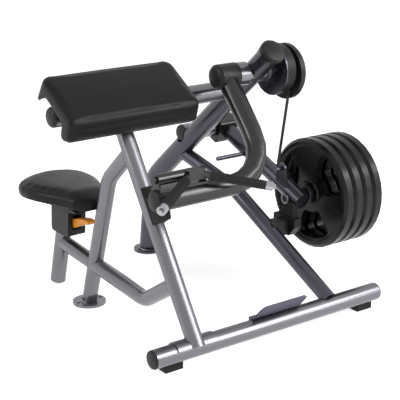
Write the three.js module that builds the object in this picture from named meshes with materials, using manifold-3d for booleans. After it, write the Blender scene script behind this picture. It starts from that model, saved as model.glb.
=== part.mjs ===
// Biceps curl machine, plate loaded: a tube frame, a sloping arm pad, a seat on a tilted post,
// a curl arm with a V handle, and a weight lever that the arm's cam lifts by a belt.
//
// Millimetres, +Z up. X runs along the front base tube, Y runs back from it towards the seat.
// The origin is on the floor, under the middle of the whole machine.

import * as THREE from 'three';
import { mergeVertices } from 'three/addons/utils/BufferGeometryUtils.js';
import Module from 'manifold-3d';

const wasm = await Module();
wasm.setup();

// Driving dimensions

const GAP = 0.3;
const TUBE_SIDES = 16;
const CUTTER_SIDES = 24;
const SMALL_SIDES = 16;
const BEND_STEPS = 5;
const WALL = 3;

const SEAT_PLANE_X = 177;
const MAST_X = 712;

const BASE_LENGTH = 1069;
const BASE_RADIUS = 35;
const BASE_HEIGHT = 65;
const BASE_CAP_FLANGE = 7;

const FOOT_BLOCK = { length: 74, depth: 46, height: 44, y: 18 };
const FOOT_BLOCK_X = [94, 1008];

const SADDLE_LENGTH = 168;
const SADDLE_THICKNESS = 5;

const UPRIGHT_RADIUS = 32;
const UPRIGHT_FOOT = { y: -8, z: 98 };
const CROSSBAR = { y: 471, z: 841, radius: 37.5, left: -86 };

const LEG_RADIUS = 30;
const LEG_BEND_RADIUS = 120;
const REAR_LEG = [{ y: 703, z: 10.3 }, { y: 531, z: 556 }, { y: 377, z: 695.2 }];
const FOOT_PLATE = { radius: 66, thickness: 10, hole: 8, holeOffset: 50 };

const RAIL_RADIUS = 30;
const RAIL_CORNER = { y: 295, z: 148 };
const RAIL_MIDDLE = { y: 649.4, z: 180.3 };
const RAIL_REAR = { y: 905.1, z: 203.6 };
const RAIL_JOIN = { y: 104, z: 271 };
const RAIL_BEND_RADIUS = 95;

const POST_TILT = THREE.MathUtils.degToRad(15);
const SLEEVE = { y: 920, z: 148, radius: 32, wall: 4, below: 132, above: 138 };

const MAST_RADIUS = 41.5;
const MAST_BEND_RADIUS = 200;
const MAST = [{ y: 1075, z: 10.3 }, { y: 1031, z: 348 }, { y: 245, z: 1012 }];
const MAST_CAP = { length: 27, radius: 48.5 };

const BRACE_BEND_RADIUS = 160;
const BRACE = [{ x: 818, y: 0, z: 92 }, { x: 748, y: 491, z: 418 }, { x: MAST_X, y: 827, z: 520 }];

const HINGE = { y: 345, z: 928 };
const HOUSING = { left: 624, right: 768, radius: 45, waist: 38.5 };
const HUB = { left: 528, right: 622.5, radius: 47 };
const SHAFT_RADIUS = 20;
const BEARING = { outer: 36, width: 26 };

const ARM_REST = THREE.MathUtils.degToRad(40.9);
const ARM_REACH = 426;
const ARM_TUBE_RADIUS = 38;
const ARM_BEND_RADIUS = 185;
const ARM_X = 581;
const ARM_LEFT_END = 84;

const CAM = { left: 840, right: 860, belt: 60, cheek: 3, bore: 40 };
const CAM_DRUM = { radius: 97, wall: 4 };
const CAM_DISC = { left: 796, right: 801, radius: 100 };
const CAM_COVER = { left: 860.4, right: 892, radius: 108, drop: 14 };
const SHAFT_END = 896;

const LEVER_PIVOT = { y: 775, z: 606 };
const LEVER_X = 905;
const LEVER_TUBE_RADIUS = 35;
const LEVER_HUB = { left: 845, right: 938, half: 50 };
const PIVOT_TUBE = { left: 686, right: 838, radius: 36 };
const PEG = { y: 320, z: 402, radius: 24.5, left: 864, right: 1296 };
const PEG_NUT = { radius: 22, right: 886 };
const PEG_COLLAR = { left: 964, right: 984.5, radius: 40 };
const PEG_DROP = 19;
const BELT_PIN = { y: 358, z: 517, radius: 8 };
const BELT = { x: 850, width: 12, thickness: 4 };
const STOP_ROD = { y: 600, radius: 9, left: 737, right: 952, drop: 10 };

const PLATE = { radius: 225, pitch: 51.2, width: 50.6, bore: 25.3, sunk: 9, rim: 200, first: 985, count: 4 };
const PLATE_SIDES = 34;
const GRIP_HOLE = { inner: 77, outer: 188, corner: 25, halfAngle: 0.56, first: 0.35, count: 3 };

const PAD = { length: 552, left: -98, slope: 32, floor: 44.2, recess: 30, board: 10, endWall: 16 };
const PAD_TOP_BACK = { y: 532, z: 976 };

const HANDLE = { apexX: 225, span: 222, forward: 141, drop: 53, barRadius: 13, gripRadius: 16 };
const HANDLE_PIVOT = { y: 72, z: 678, left: 76, right: 276 };

const FOOTREST = { left: 447, right: 664, depth: 76, thickness: 5 };

// Materials: paint, rubber, vinyl and plated steel

function finish(color, roughness, metalness) {
  return new THREE.MeshStandardMaterial({ color, roughness, metalness });
}

const silverPaint = () => finish(0xa9a9b0, 0.3, 0.7);
const slatePaint = () => finish(0x62606e, 0.4, 0.4);
const graphitePaint = () => finish(0x4c4c4e, 0.35, 0.4);
const blackPlastic = () => finish(0x2b2b2c, 0.5, 0.0);
const blackRubber = () => finish(0x242425, 0.8, 0.0);
const blackVinyl = () => finish(0x28282a, 0.55, 0.0);
const orangePlastic = () => finish(0xe08a1e, 0.4, 0.0);
const platedSteel = () => finish(0xd5d5d8, 0.2, 1.0);
const plainSteel = () => finish(0x8d8f92, 0.35, 0.9);
const darkSteel = () => finish(0x3a3a3d, 0.4, 0.8);
const plywood = () => finish(0x8a6a45, 0.8, 0.0);

// Geometry helpers

// A geometry's bare triangles, with their shared corners merged.
function bare(geometry) {
  const copy = geometry.index ? geometry.clone() : mergeVertices(positionsOnly(geometry), 1e-4);
  return mergeVertices(positionsOnly(copy), 1e-4);
}

function positionsOnly(geometry) {
  const copy = geometry.clone();
  for (const name of Object.keys(copy.attributes)) {
    if (name !== 'position') {
      copy.deleteAttribute(name);
    }
  }
  return copy;
}

function solid(geometry) {
  const merged = bare(geometry);
  return new wasm.Manifold(new wasm.Mesh({
    numProp: 3,
    vertProperties: new Float32Array(merged.attributes.position.array),
    triVerts: new Uint32Array(merged.index.array),
  }));
}

function geometryOf(manifold) {
  const mesh = manifold.getMesh();
  const geometry = new THREE.BufferGeometry();
  geometry.setAttribute('position', new THREE.BufferAttribute(new Float32Array(mesh.vertProperties), 3));
  geometry.setIndex(new THREE.BufferAttribute(new Uint32Array(mesh.triVerts), 1));
  const faceted = geometry.toNonIndexed();
  faceted.computeVertexNormals();
  return faceted;
}

function cut(body, ...tools) {
  let result = solid(body);
  for (const tool of tools) {
    result = result.subtract(solid(tool));
  }
  return geometryOf(result);
}

function join(...bodies) {
  let result = solid(bodies[0]);
  for (const body of bodies.slice(1)) {
    result = result.add(solid(body));
  }
  return geometryOf(result);
}

function point(x, y, z) {
  return new THREE.Vector3(x, y, z);
}

// A round bar between two points.
function bar(from, to, radius, sides = TUBE_SIDES) {
  const along = to.clone().sub(from);
  const geometry = new THREE.CylinderGeometry(radius, radius, along.length(), sides);
  const turn = new THREE.Quaternion().setFromUnitVectors(point(0, 1, 0), along.clone().normalize());
  geometry.applyQuaternion(turn);
  const middle = from.clone().add(to).multiplyScalar(0.5);
  return geometry.translate(middle.x, middle.y, middle.z);
}

function barAlongX(left, right, y, z, radius, sides = TUBE_SIDES) {
  return bar(point(left, y, z), point(right, y, z), radius, sides);
}

function box(low, high) {
  const geometry = new THREE.BoxGeometry(high[0] - low[0], high[1] - low[1], high[2] - low[2]);
  return geometry.translate((low[0] + high[0]) / 2, (low[1] + high[1]) / 2, (low[2] + high[2]) / 2);
}

// A turned solid about a line: the profile lists [distance along it, radius].
function turnedAlong(profile, origin, direction, sides = TUBE_SIDES) {
  const outline = profile.map(([along, radius]) => new THREE.Vector2(radius, along));
  const geometry = new THREE.LatheGeometry(outline, sides);
  geometry.applyQuaternion(new THREE.Quaternion().setFromUnitVectors(point(0, 1, 0), direction));
  return geometry.translate(origin.x, origin.y, origin.z);
}

function turnedAlongX(profile, y, z, sides = TUBE_SIDES) {
  return turnedAlong(profile, point(0, y, z), point(1, 0, 0), sides);
}

// A path of straight runs and round bends, with a station only where the shape needs one.
class TubePath extends THREE.Curve {
  constructor(corners, bendRadius) {
    super();
    this.points = [corners[0].clone()];
    this.tangents = [corners[1].clone().sub(corners[0]).normalize()];
    for (let i = 1; i < corners.length - 1; i += 1) {
      this.addBend(corners[i - 1], corners[i], corners[i + 1], bendRadius);
    }
    const last = corners[corners.length - 1];
    this.points.push(last.clone());
    this.tangents.push(last.clone().sub(corners[corners.length - 2]).normalize());
  }

  addBend(before, corner, after, radius) {
    const arriving = corner.clone().sub(before).normalize();
    const leaving = after.clone().sub(corner).normalize();
    const turn = arriving.angleTo(leaving);
    const reach = radius * Math.tan(turn / 2);
    const axis = arriving.clone().cross(leaving).normalize();
    const inward = axis.clone().cross(arriving);
    const centre = corner.clone().addScaledVector(arriving, -reach).addScaledVector(inward, radius);
    for (let step = 0; step <= BEND_STEPS; step += 1) {
      const angle = turn * step / BEND_STEPS;
      const spoke = inward.clone().negate().applyAxisAngle(axis, angle);
      this.points.push(centre.clone().addScaledVector(spoke, radius));
      this.tangents.push(arriving.clone().applyAxisAngle(axis, angle));
    }
  }

  get steps() {
    return this.points.length - 1;
  }

  getUtoTmapping(u) {
    return u;
  }

  getPoint(t, target = new THREE.Vector3()) {
    const place = t * this.steps;
    const index = Math.min(Math.floor(place), this.steps - 1);
    return target.lerpVectors(this.points[index], this.points[index + 1], place - index);
  }

  getTangent(t, target = new THREE.Vector3()) {
    return target.copy(this.tangents[Math.round(t * this.steps)]);
  }
}

function roundSection(radius) {
  return new THREE.Shape().absarc(0, 0, radius, 0, 2 * Math.PI);
}

function sweep(section, path, sides = TUBE_SIDES) {
  return new THREE.ExtrudeGeometry(section, {
    steps: path.steps,
    extrudePath: path,
    curveSegments: sides / 2,
  });
}

function roundTube(radius, path, wall = WALL) {
  const section = roundSection(radius);
  section.holes.push(new THREE.Path().absarc(0, 0, radius - wall, 0, 2 * Math.PI));
  return sweep(section, path);
}

function straightTube(from, to, radius, wall = WALL) {
  return roundTube(radius, new TubePath([from, to], 0), wall);
}

// A closed skin through rings of points, each ring a list of the same count of points.
function skin(rings) {
  const count = rings[0].length;
  const positions = [];
  const index = [];
  for (const ring of rings) {
    for (const corner of ring) {
      positions.push(corner.x, corner.y, corner.z);
    }
  }
  for (let i = 0; i < rings.length - 1; i += 1) {
    for (let j = 0; j < count; j += 1) {
      const a = i * count + j;
      const b = i * count + (j + 1) % count;
      index.push(a, b, b + count, a, b + count, a + count);
    }
  }
  addLid(rings[0], 0, positions, index, true);
  addLid(rings[rings.length - 1], (rings.length - 1) * count, positions, index, false);
  const geometry = new THREE.BufferGeometry();
  geometry.setAttribute('position', new THREE.Float32BufferAttribute(positions, 3));
  geometry.setIndex(index);
  return geometry;
}

// Closes a ring with a fan about its middle.
function addLid(ring, start, positions, index, first) {
  const middle = new THREE.Vector3();
  for (const corner of ring) {
    middle.add(corner);
  }
  middle.multiplyScalar(1 / ring.length);
  const hub = positions.length / 3;
  positions.push(middle.x, middle.y, middle.z);
  for (let j = 0; j < ring.length; j += 1) {
    const a = start + j;
    const b = start + (j + 1) % ring.length;
    if (first) {
      index.push(a, hub, b);
    } else {
      index.push(a, b, hub);
    }
  }
}

function addPart(group, name, geometry, material) {
  const mesh = new THREE.Mesh(geometry, material);
  mesh.name = name;
  group.add(mesh);
  return mesh;
}

// Points of the frame that several parts share

const uprightFoot = point(SEAT_PLANE_X, UPRIGHT_FOOT.y, UPRIGHT_FOOT.z);
const uprightTop = point(SEAT_PLANE_X, CROSSBAR.y, CROSSBAR.z);
const uprightDirection = uprightTop.clone().sub(uprightFoot).normalize();
const uprightBack = point(0, uprightDirection.z, -uprightDirection.y);
const sleeveDirection = point(0, -Math.sin(POST_TILT), Math.cos(POST_TILT));
const sleeveMiddle = point(SEAT_PLANE_X, SLEEVE.y, SLEEVE.z);
const mastDirection = point(0, MAST[2].y - MAST[1].y, MAST[2].z - MAST[1].z).normalize();
const mastCorners = MAST.map(({ y, z }) => point(MAST_X, y, z));

// A faceted cutter's radius whose flats stay one gap clear of a round of the given radius.
function clear(radius, sides = CUTTER_SIDES) {
  return (radius + GAP) / Math.cos(Math.PI / sides);
}

// Solids that trim their neighbours, grown by the gap between touching parts
const baseCutter = barAlongX(-50, BASE_LENGTH + 50, 0, BASE_HEIGHT, clear(BASE_RADIUS), CUTTER_SIDES);
const saddleOuter = BASE_RADIUS + GAP + SADDLE_THICKNESS;
const saddleCutter = barAlongX(0, 400, 0, BASE_HEIGHT, clear(saddleOuter), CUTTER_SIDES);
const crossbarCutter = barAlongX(-50, 660, CROSSBAR.y, CROSSBAR.z, clear(CROSSBAR.radius), CUTTER_SIDES);
const uprightCutter = bar(uprightFoot, uprightTop, clear(UPRIGHT_RADIUS), CUTTER_SIDES);
const mastCutter = sweep(
  roundSection(clear(MAST_RADIUS)),
  new TubePath(mastCorners, MAST_BEND_RADIUS),
  CUTTER_SIDES,
);
const housingCutter = barAlongX(600, 800, HINGE.y, HINGE.z, clear(HOUSING.waist), CUTTER_SIDES);
const pivotTubeCutter = barAlongX(
  640,
  860,
  LEVER_PIVOT.y,
  LEVER_PIVOT.z,
  clear(PIVOT_TUBE.radius),
  CUTTER_SIDES,
);

// Frame

function buildBase(group) {
  addPart(group, 'base_tube', straightTube(
    point(BASE_CAP_FLANGE + GAP, 0, BASE_HEIGHT),
    point(BASE_LENGTH - BASE_CAP_FLANGE - GAP, 0, BASE_HEIGHT),
    BASE_RADIUS,
  ), silverPaint());
  addPart(group, 'base_cap_left', baseCap(0, 1), blackPlastic());
  addPart(group, 'base_cap_right', baseCap(BASE_LENGTH, -1), blackPlastic());
  FOOT_BLOCK_X.forEach((x, i) => {
    const block = box(
      [x - FOOT_BLOCK.length / 2, FOOT_BLOCK.y - FOOT_BLOCK.depth / 2, 0],
      [x + FOOT_BLOCK.length / 2, FOOT_BLOCK.y + FOOT_BLOCK.depth / 2, FOOT_BLOCK.height],
    );
    addPart(group, i === 0 ? 'base_foot_left' : 'base_foot_right', cut(block, baseCutter), blackRubber());
  });
}

// A push-in cap: a domed flange over the tube's end and a plug inside it.
function baseCap(face, inward) {
  const plug = BASE_RADIUS - WALL - GAP;
  const profile = [
    [0, 0], [0, BASE_RADIUS - 6], [2, BASE_RADIUS - 2], [BASE_CAP_FLANGE, BASE_RADIUS],
    [BASE_CAP_FLANGE, plug], [BASE_CAP_FLANGE + 22, plug], [BASE_CAP_FLANGE + 22, 0],
  ];
  const geometry = turnedAlongX(profile, 0, BASE_HEIGHT);
  if (inward < 0) {
    geometry.rotateZ(Math.PI);
    geometry.translate(face, 0, 0);
  }
  return geometry;
}

function buildSaddle(group) {
  const left = SEAT_PLANE_X - SADDLE_LENGTH / 2;
  const right = SEAT_PLANE_X + SADDLE_LENGTH / 2;
  const sleeve = barAlongX(left, right, 0, BASE_HEIGHT, saddleOuter, CUTTER_SIDES);
  const lower = box([left - 1, -saddleOuter - 1, 0], [right + 1, saddleOuter + 1, BASE_HEIGHT + 17]);
  addPart(group, 'saddle_plate', cut(sleeve, baseCutter, lower), silverPaint());
}

function buildFrontUpright(group) {
  const foot = uprightFoot.clone().addScaledVector(uprightDirection, -30);
  const raw = straightTube(foot, uprightTop, UPRIGHT_RADIUS);
  addPart(group, 'front_upright', cut(raw, saddleCutter, crossbarCutter), silverPaint());
}

function footPlate(x, y) {
  const { radius, thickness } = FOOT_PLATE;
  const disc = new THREE.CylinderGeometry(radius, radius, thickness, PLATE_SIDES);
  disc.rotateX(Math.PI / 2);
  disc.translate(x, y, FOOT_PLATE.thickness / 2);
  const holes = [-1, 1].map((side) => {
    const hole = new THREE.CylinderGeometry(FOOT_PLATE.hole, FOOT_PLATE.hole, 3 * FOOT_PLATE.thickness, 10);
    hole.rotateX(Math.PI / 2);
    return hole.translate(x + side * FOOT_PLATE.holeOffset, y, 0);
  });
  return cut(disc, ...holes);
}

function buildRearLeg(group) {
  const corners = REAR_LEG.map(({ y, z }) => point(SEAT_PLANE_X, y, z));
  const direction = corners[1].clone().sub(corners[0]).normalize();
  corners[0].addScaledVector(direction, -30);
  const floor = box([0, 500, -80], [400, 900, FOOT_PLATE.thickness + GAP]);
  const leg = roundTube(LEG_RADIUS, new TubePath(corners, LEG_BEND_RADIUS));
  addPart(group, 'rear_leg', cut(leg, floor, uprightCutter), silverPaint());
  addPart(group, 'rear_leg_foot', footPlate(SEAT_PLANE_X, REAR_LEG[0].y), silverPaint());
}

function buildRails(group) {
  const legCorners = REAR_LEG.map(({ y, z }) => point(SEAT_PLANE_X, y, z));
  const legCutter = bar(legCorners[0], legCorners[1], clear(LEG_RADIUS), CUTTER_SIDES);
  const join = point(SEAT_PLANE_X, RAIL_JOIN.y, RAIL_JOIN.z);
  const corner = point(SEAT_PLANE_X, RAIL_CORNER.y, RAIL_CORNER.z);
  const rear = point(SEAT_PLANE_X, RAIL_REAR.y, RAIL_REAR.z);
  const middle = point(SEAT_PLANE_X, RAIL_MIDDLE.y, RAIL_MIDDLE.z);
  const path = new TubePath([join, corner, middle], RAIL_BEND_RADIUS);
  addPart(group, 'front_rail', cut(roundTube(RAIL_RADIUS, path), uprightCutter, legCutter), silverPaint());
  const sleeveCutter = bar(
    sleeveMiddle.clone().addScaledVector(sleeveDirection, -200),
    sleeveMiddle.clone().addScaledVector(sleeveDirection, 200),
    clear(SLEEVE.radius),
    CUTTER_SIDES,
  );
  const raw = straightTube(middle, rear, RAIL_RADIUS);
  addPart(group, 'seat_rail', cut(raw, legCutter, sleeveCutter), silverPaint());
}

function buildCrossbar(group) {
  const raw = straightTube(
    point(CROSSBAR.left, CROSSBAR.y, CROSSBAR.z),
    point(MAST_X - 18, CROSSBAR.y, CROSSBAR.z),
    CROSSBAR.radius,
  );
  addPart(group, 'crossbar', cut(raw, mastCutter), silverPaint());
  const plug = CROSSBAR.radius - WALL - GAP;
  const left = CROSSBAR.left - GAP;
  const profile = [
    [left - 12, 0], [left - 12, CROSSBAR.radius - 12], [left - 8, CROSSBAR.radius - 4],
    [left - 2, CROSSBAR.radius], [left, CROSSBAR.radius], [left, plug], [left + 24, plug], [left + 24, 0],
  ];
  addPart(group, 'crossbar_cap', turnedAlongX(profile, CROSSBAR.y, CROSSBAR.z), blackPlastic());
}

function buildMast(group) {
  const corners = mastCorners.map((corner) => corner.clone());
  const legDirection = corners[1].clone().sub(corners[0]).normalize();
  corners[0].addScaledVector(legDirection, -30);
  const floor = box([600, 900, -80], [800, 1300, FOOT_PLATE.thickness + GAP]);
  const raw = roundTube(MAST_RADIUS, new TubePath(corners, MAST_BEND_RADIUS));
  addPart(group, 'mast', cut(raw, floor, housingCutter, pivotTubeCutter), slatePaint());
  addPart(group, 'mast_foot', footPlate(MAST_X, MAST[0].y), slatePaint());
  addPart(group, 'mast_cap', mastCap(), blackPlastic());
}

// The cap on the mast's top end: a dome that overhangs the tube, with a plug inside it.
function mastCap() {
  const { length, radius } = MAST_CAP;
  const plug = (MAST_RADIUS - WALL) * Math.cos(Math.PI / TUBE_SIDES) - GAP;
  const profile = [
    [-24, 0], [-24, plug], [GAP, plug], [GAP, radius - 2], [3, radius], [length - 10, radius],
    [length - 3, radius - 5], [length, radius - 13], [length, 0],
  ];
  return turnedAlong(profile, mastCorners[2], mastDirection);
}

// The housing passes through the mast on a waist, with a shoulder against each side of the tube.
function buildBearingHousing(group) {
  const waistLeft = MAST_X - MAST_RADIUS - 1;
  const waistRight = MAST_X + MAST_RADIUS + 1;
  const profile = [
    [HOUSING.left, BEARING.outer + GAP], [HOUSING.left, HOUSING.radius], [waistLeft, HOUSING.radius],
    [waistLeft, HOUSING.waist], [waistRight, HOUSING.waist], [waistRight, HOUSING.radius],
    [HOUSING.right, HOUSING.radius], [HOUSING.right, BEARING.outer + GAP],
    [HOUSING.right - BEARING.width - 1, BEARING.outer + GAP], [HOUSING.right - BEARING.width - 1, 30],
    [HOUSING.left + BEARING.width + 1, 30], [HOUSING.left + BEARING.width + 1, BEARING.outer + GAP],
    [HOUSING.left, BEARING.outer + GAP],
  ];
  addPart(group, 'bearing_housing', turnedAlongX(profile, HINGE.y, HINGE.z), silverPaint());
  const places = { shaft_bearing_left: HOUSING.left, shaft_bearing_right: HOUSING.right - BEARING.width };
  for (const [name, left] of Object.entries(places)) {
    const bore = clear(SHAFT_RADIUS, TUBE_SIDES);
    const ring = [
      [left, bore], [left, BEARING.outer], [left + BEARING.width, BEARING.outer],
      [left + BEARING.width, bore], [left, bore],
    ];
    addPart(group, name, turnedAlongX(ring, HINGE.y, HINGE.z), plainSteel());
  }
}

function buildBrace(group) {
  const corners = BRACE.map(({ x, y, z }) => point(x, y, z));
  const raw = roundTube(LEG_RADIUS, new TubePath(corners, BRACE_BEND_RADIUS));
  addPart(group, 'brace', cut(raw, baseCutter, mastCutter), slatePaint());
}

function buildFootrest(group) {
  const tilt = point(0, -0.64, 0.77);
  const lower = point(0, -10, 107);
  const upper = lower.clone().addScaledVector(tilt, FOOTREST.depth);
  const skinward = point(0, 0.77, 0.64).multiplyScalar(FOOTREST.thickness);
  const outline = new THREE.Shape([
    new THREE.Vector2(lower.y, lower.z),
    new THREE.Vector2(upper.y, upper.z),
    new THREE.Vector2(upper.y + skinward.y, upper.z + skinward.z),
    new THREE.Vector2(lower.y + skinward.y, lower.z + 1.4 * skinward.z),
    new THREE.Vector2(26, 104),
    new THREE.Vector2(24, 92),
    new THREE.Vector2(10, 96),
  ]);
  const plate = alongX(outline, FOOTREST.left, FOOTREST.right);
  const corners = [FOOTREST.left, FOOTREST.right].map((x) => {
    const notch = new THREE.CylinderGeometry(20, 20, 20, 4);
    return notch.rotateX(Math.PI / 2).translate(x, upper.y, upper.z);
  });
  addPart(group, 'footrest_plate', cut(plate, baseCutter, ...corners), slatePaint());
}

// A prism along X from an outline in Y and Z.
function alongX(outline, left, right, curveSegments = 5) {
  const geometry = new THREE.ExtrudeGeometry(outline, {
    depth: right - left,
    bevelEnabled: false,
    curveSegments,
  });
  const turn = new THREE.Matrix4().set(0, 0, 1, left, 1, 0, 0, 0, 0, 1, 0, 0, 0, 0, 0, 1);
  return geometry.applyMatrix4(turn);
}

// The stop that the curl arm rests on: a saddle on the front upright with a block up to the arm.
// Its outline is [distance out from the upright's axis, distance up along it].
const STOP = { foot: { y: 245, z: 491 }, below: 42, above: 97, thickness: 5, halfWidth: 27, sleeveEdge: 24 };
const STOP_OUTLINE = [
  [30, -41], [68, -41], [80, -12], [122, -8], [174.2, -20], [174.2, 22], [90, 44], [30, 58],
];

// A prism across the upright from corners given as [distance out, distance up].
function acrossUpright(corners, halfWidth) {
  const foot = point(SEAT_PLANE_X, STOP.foot.y, STOP.foot.z);
  const outline = new THREE.Shape(corners.map(([out, up]) => {
    const place = foot.clone().addScaledVector(uprightBack, -out).addScaledVector(uprightDirection, up);
    return new THREE.Vector2(place.y, place.z);
  }));
  return alongX(outline, SEAT_PLANE_X - halfWidth, SEAT_PLANE_X + halfWidth);
}

function buildArmStop(group) {
  const { below, above, thickness, halfWidth, sleeveEdge } = STOP;
  const foot = point(SEAT_PLANE_X, STOP.foot.y, STOP.foot.z);
  const from = foot.clone().addScaledVector(uprightDirection, -below);
  const to = foot.clone().addScaledVector(uprightDirection, above);
  const sleeve = bar(from, to, UPRIGHT_RADIUS + GAP + thickness, CUTTER_SIDES);
  const back = 2 * UPRIGHT_RADIUS;
  const behind = acrossUpright(
    [[sleeveEdge, -below - 5], [sleeveEdge, above + 5], [-back, above + 5], [-back, -below - 5]],
    back,
  );
  const shell = cut(sleeve, behind);
  const block = acrossUpright(STOP_OUTLINE, halfWidth);
  addPart(group, 'arm_stop', cut(join(shell, block), uprightCutter), blackRubber());
}

// The seat's sleeve and its lock

function buildSeatSleeve(group) {
  const bottom = sleeveMiddle.clone().addScaledVector(sleeveDirection, -SLEEVE.below);
  const top = sleeveMiddle.clone().addScaledVector(sleeveDirection, SLEEVE.above);
  addPart(group, 'seat_sleeve', straightTube(bottom, top, SLEEVE.radius, SLEEVE.wall), silverPaint());
}

const SEAT_POST_RADIUS = SLEEVE.radius - SLEEVE.wall - 0.5;
const SEAT_POST_BELOW = 112;
const LOCK_HOUSING = { left: 137, right: 217, bottom: 257, top: 368 };
const LOCK_SLOT = { left: 157, right: 197, back: 812, bottom: 286, top: 346 };
const LOCK_LEVER = { hinge: { y: 798, z: 316 }, halfWidth: 18 };
const SEAT_BASE = { bottom: 374, top: 394, left: 117, right: 237 };

function postBar(from, to, radius, sides) {
  return bar(
    sleeveMiddle.clone().addScaledVector(sleeveDirection, from),
    sleeveMiddle.clone().addScaledVector(sleeveDirection, to),
    radius,
    sides,
  );
}

function buildSeatLock(group) {
  const { left, right, bottom, top } = LOCK_HOUSING;
  const outline = new THREE.Shape();
  outline.moveTo(803, bottom);
  outline.lineTo(900, bottom);
  outline.quadraticCurveTo(919, bottom, 918, bottom + 22);
  outline.lineTo(912, top);
  outline.lineTo(778, top);
  outline.lineTo(786, bottom + 16);
  outline.quadraticCurveTo(788, bottom, 803, bottom);
  const body = alongX(outline, left, right);
  const sleeve = postBar(0, SLEEVE.above + GAP, SLEEVE.radius + GAP, CUTTER_SIDES);
  const bore = postBar(0, 400, SEAT_POST_RADIUS + 0.5, CUTTER_SIDES);
  const slot = box(
    [LOCK_SLOT.left, 700, LOCK_SLOT.bottom],
    [LOCK_SLOT.right, LOCK_SLOT.back, LOCK_SLOT.top],
  );
  addPart(group, 'seat_lock_housing', cut(body, sleeve, bore, slot), blackPlastic());
}

function buildSeatLockLever(group) {
  const outline = new THREE.Shape();
  outline.moveTo(804, 306);
  outline.lineTo(804, 326);
  outline.quadraticCurveTo(760, 340, 725, 348);
  outline.quadraticCurveTo(690, 356, 668, 350);
  outline.quadraticCurveTo(660, 345, 668, 339);
  outline.quadraticCurveTo(715, 334, 740, 316);
  outline.quadraticCurveTo(770, 294, 790, 297);
  const { hinge, halfWidth } = LOCK_LEVER;
  const lever = alongX(outline, -halfWidth, halfWidth);
  lever.translate(0, -hinge.y, -hinge.z);
  const mesh = addPart(group, 'seat_lock_lever', lever, orangePlastic());
  mesh.position.set(SEAT_PLANE_X, hinge.y, hinge.z);
}

function buildSeat(group) {
  const above = box([0, 600, SEAT_BASE.bottom - GAP], [400, 1100, 700]);
  const post = cut(postBar(-SEAT_POST_BELOW, 300, SEAT_POST_RADIUS, CUTTER_SIDES), above);
  addPart(group, 'seat_post', post, platedSteel());
  const outline = new THREE.Shape();
  outline.moveTo(760, SEAT_BASE.bottom);
  outline.lineTo(930, SEAT_BASE.bottom);
  outline.lineTo(968, SEAT_BASE.top - 8);
  outline.lineTo(968, SEAT_BASE.top);
  outline.lineTo(690, SEAT_BASE.top);
  outline.lineTo(690, SEAT_BASE.top - 8);
  addPart(group, 'seat_base', alongX(outline, SEAT_BASE.left, SEAT_BASE.right), blackPlastic());
}

// The seat pad: a saddle, wide and rounded at the back and narrow at the nose, with a crown on top.
const SEAT_PAD = { back: 1066, front: 616, halfWidthBack: 162, halfWidthFront: 84, bottom: 394.3, top: 472 };
const SEAT_STATIONS = 15;
const SEAT_RING_POINTS = 24;

function smooth(from, to, value) {
  const share = THREE.MathUtils.clamp((value - from) / (to - from), 0, 1);
  return share * share * (3 - 2 * share);
}

function seatRing(share) {
  const { back, front, halfWidthBack, halfWidthFront, bottom, top } = SEAT_PAD;
  const spread = halfWidthBack + (halfWidthFront - halfWidthBack) * smooth(0.32, 0.95, share);
  const roundBack = Math.sqrt(Math.max(0, 1 - (1 - Math.min(share / 0.3, 1)) ** 2));
  const roundFront = Math.sqrt(Math.max(0, 1 - (1 - Math.min((1 - share) / 0.14, 1)) ** 2));
  const halfWidth = Math.max(spread * roundBack * roundFront, 12);
  const y = back + (front - back) * share;
  const pinch = Math.min(1, 6 * Math.min(share, 1 - share));
  const height = (top - bottom) * (0.45 + 0.55 * Math.sqrt(pinch));
  const middle = (bottom + top) / 2 - 4 * (1 - pinch);
  const ring = [];
  for (let i = 0; i < SEAT_RING_POINTS; i += 1) {
    const angle = 2 * Math.PI * i / SEAT_RING_POINTS;
    const across = Math.sign(Math.cos(angle)) * Math.abs(Math.cos(angle)) ** 0.6;
    const up = Math.sign(Math.sin(angle)) * Math.abs(Math.sin(angle)) ** 0.55;
    const crown = up > 0 ? 8 * (1 - across * across) * up : 0;
    const z = Math.max(middle + (height / 2 - 6) * up + crown, bottom);
    ring.push(point(SEAT_PLANE_X + halfWidth * across, y, z));
  }
  return ring;
}

function buildSeatPad(group) {
  const rings = [];
  for (let i = 0; i < SEAT_STATIONS; i += 1) {
    const share = (1 - Math.cos(Math.PI * i / (SEAT_STATIONS - 1))) / 2;
    rings.push(seatRing(share));
  }
  const pad = skin(rings);
  addPart(group, 'seat_pad', pad, blackVinyl());
}

// The arm pad: a padded channel, its top sloping down to the front, with a lip at each long edge.
// Its own frame has Y down the slope towards the front and Z square to the slope, from the back edge.
function padFrame() {
  const group = new THREE.Group();
  group.position.set(PAD.left + PAD.length / 2, PAD_TOP_BACK.y, PAD_TOP_BACK.z);
  group.rotation.x = THREE.MathUtils.degToRad(PAD.slope);
  return group;
}

// The pad's section: corners as [distance down the slope, height, rounding], from the back lip's tip
// over the top to the front lip and back along the underside.
const PAD_TOP_WIDTH = 246;
const PAD_SECTION = [
  [-2, -99, 2], [-3, 3, 14], [PAD_TOP_WIDTH, 0, 18], [PAD_TOP_WIDTH + 18, -70, 12],
  [PAD_TOP_WIDTH - 18, -104, 12], [PAD_TOP_WIDTH - 46, -PAD.floor, 8], [34, -PAD.floor, 8],
];
const PAD_FRONT_CORNERS = [2, 3, 4, 5];
const PAD_PLAN_ROUNDING = { back: 40, front: 16 };
const PAD_CORNER_STEPS = 3;
const PAD_CROWN_SHARES = [0.25, 0.5, 0.75];

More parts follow.
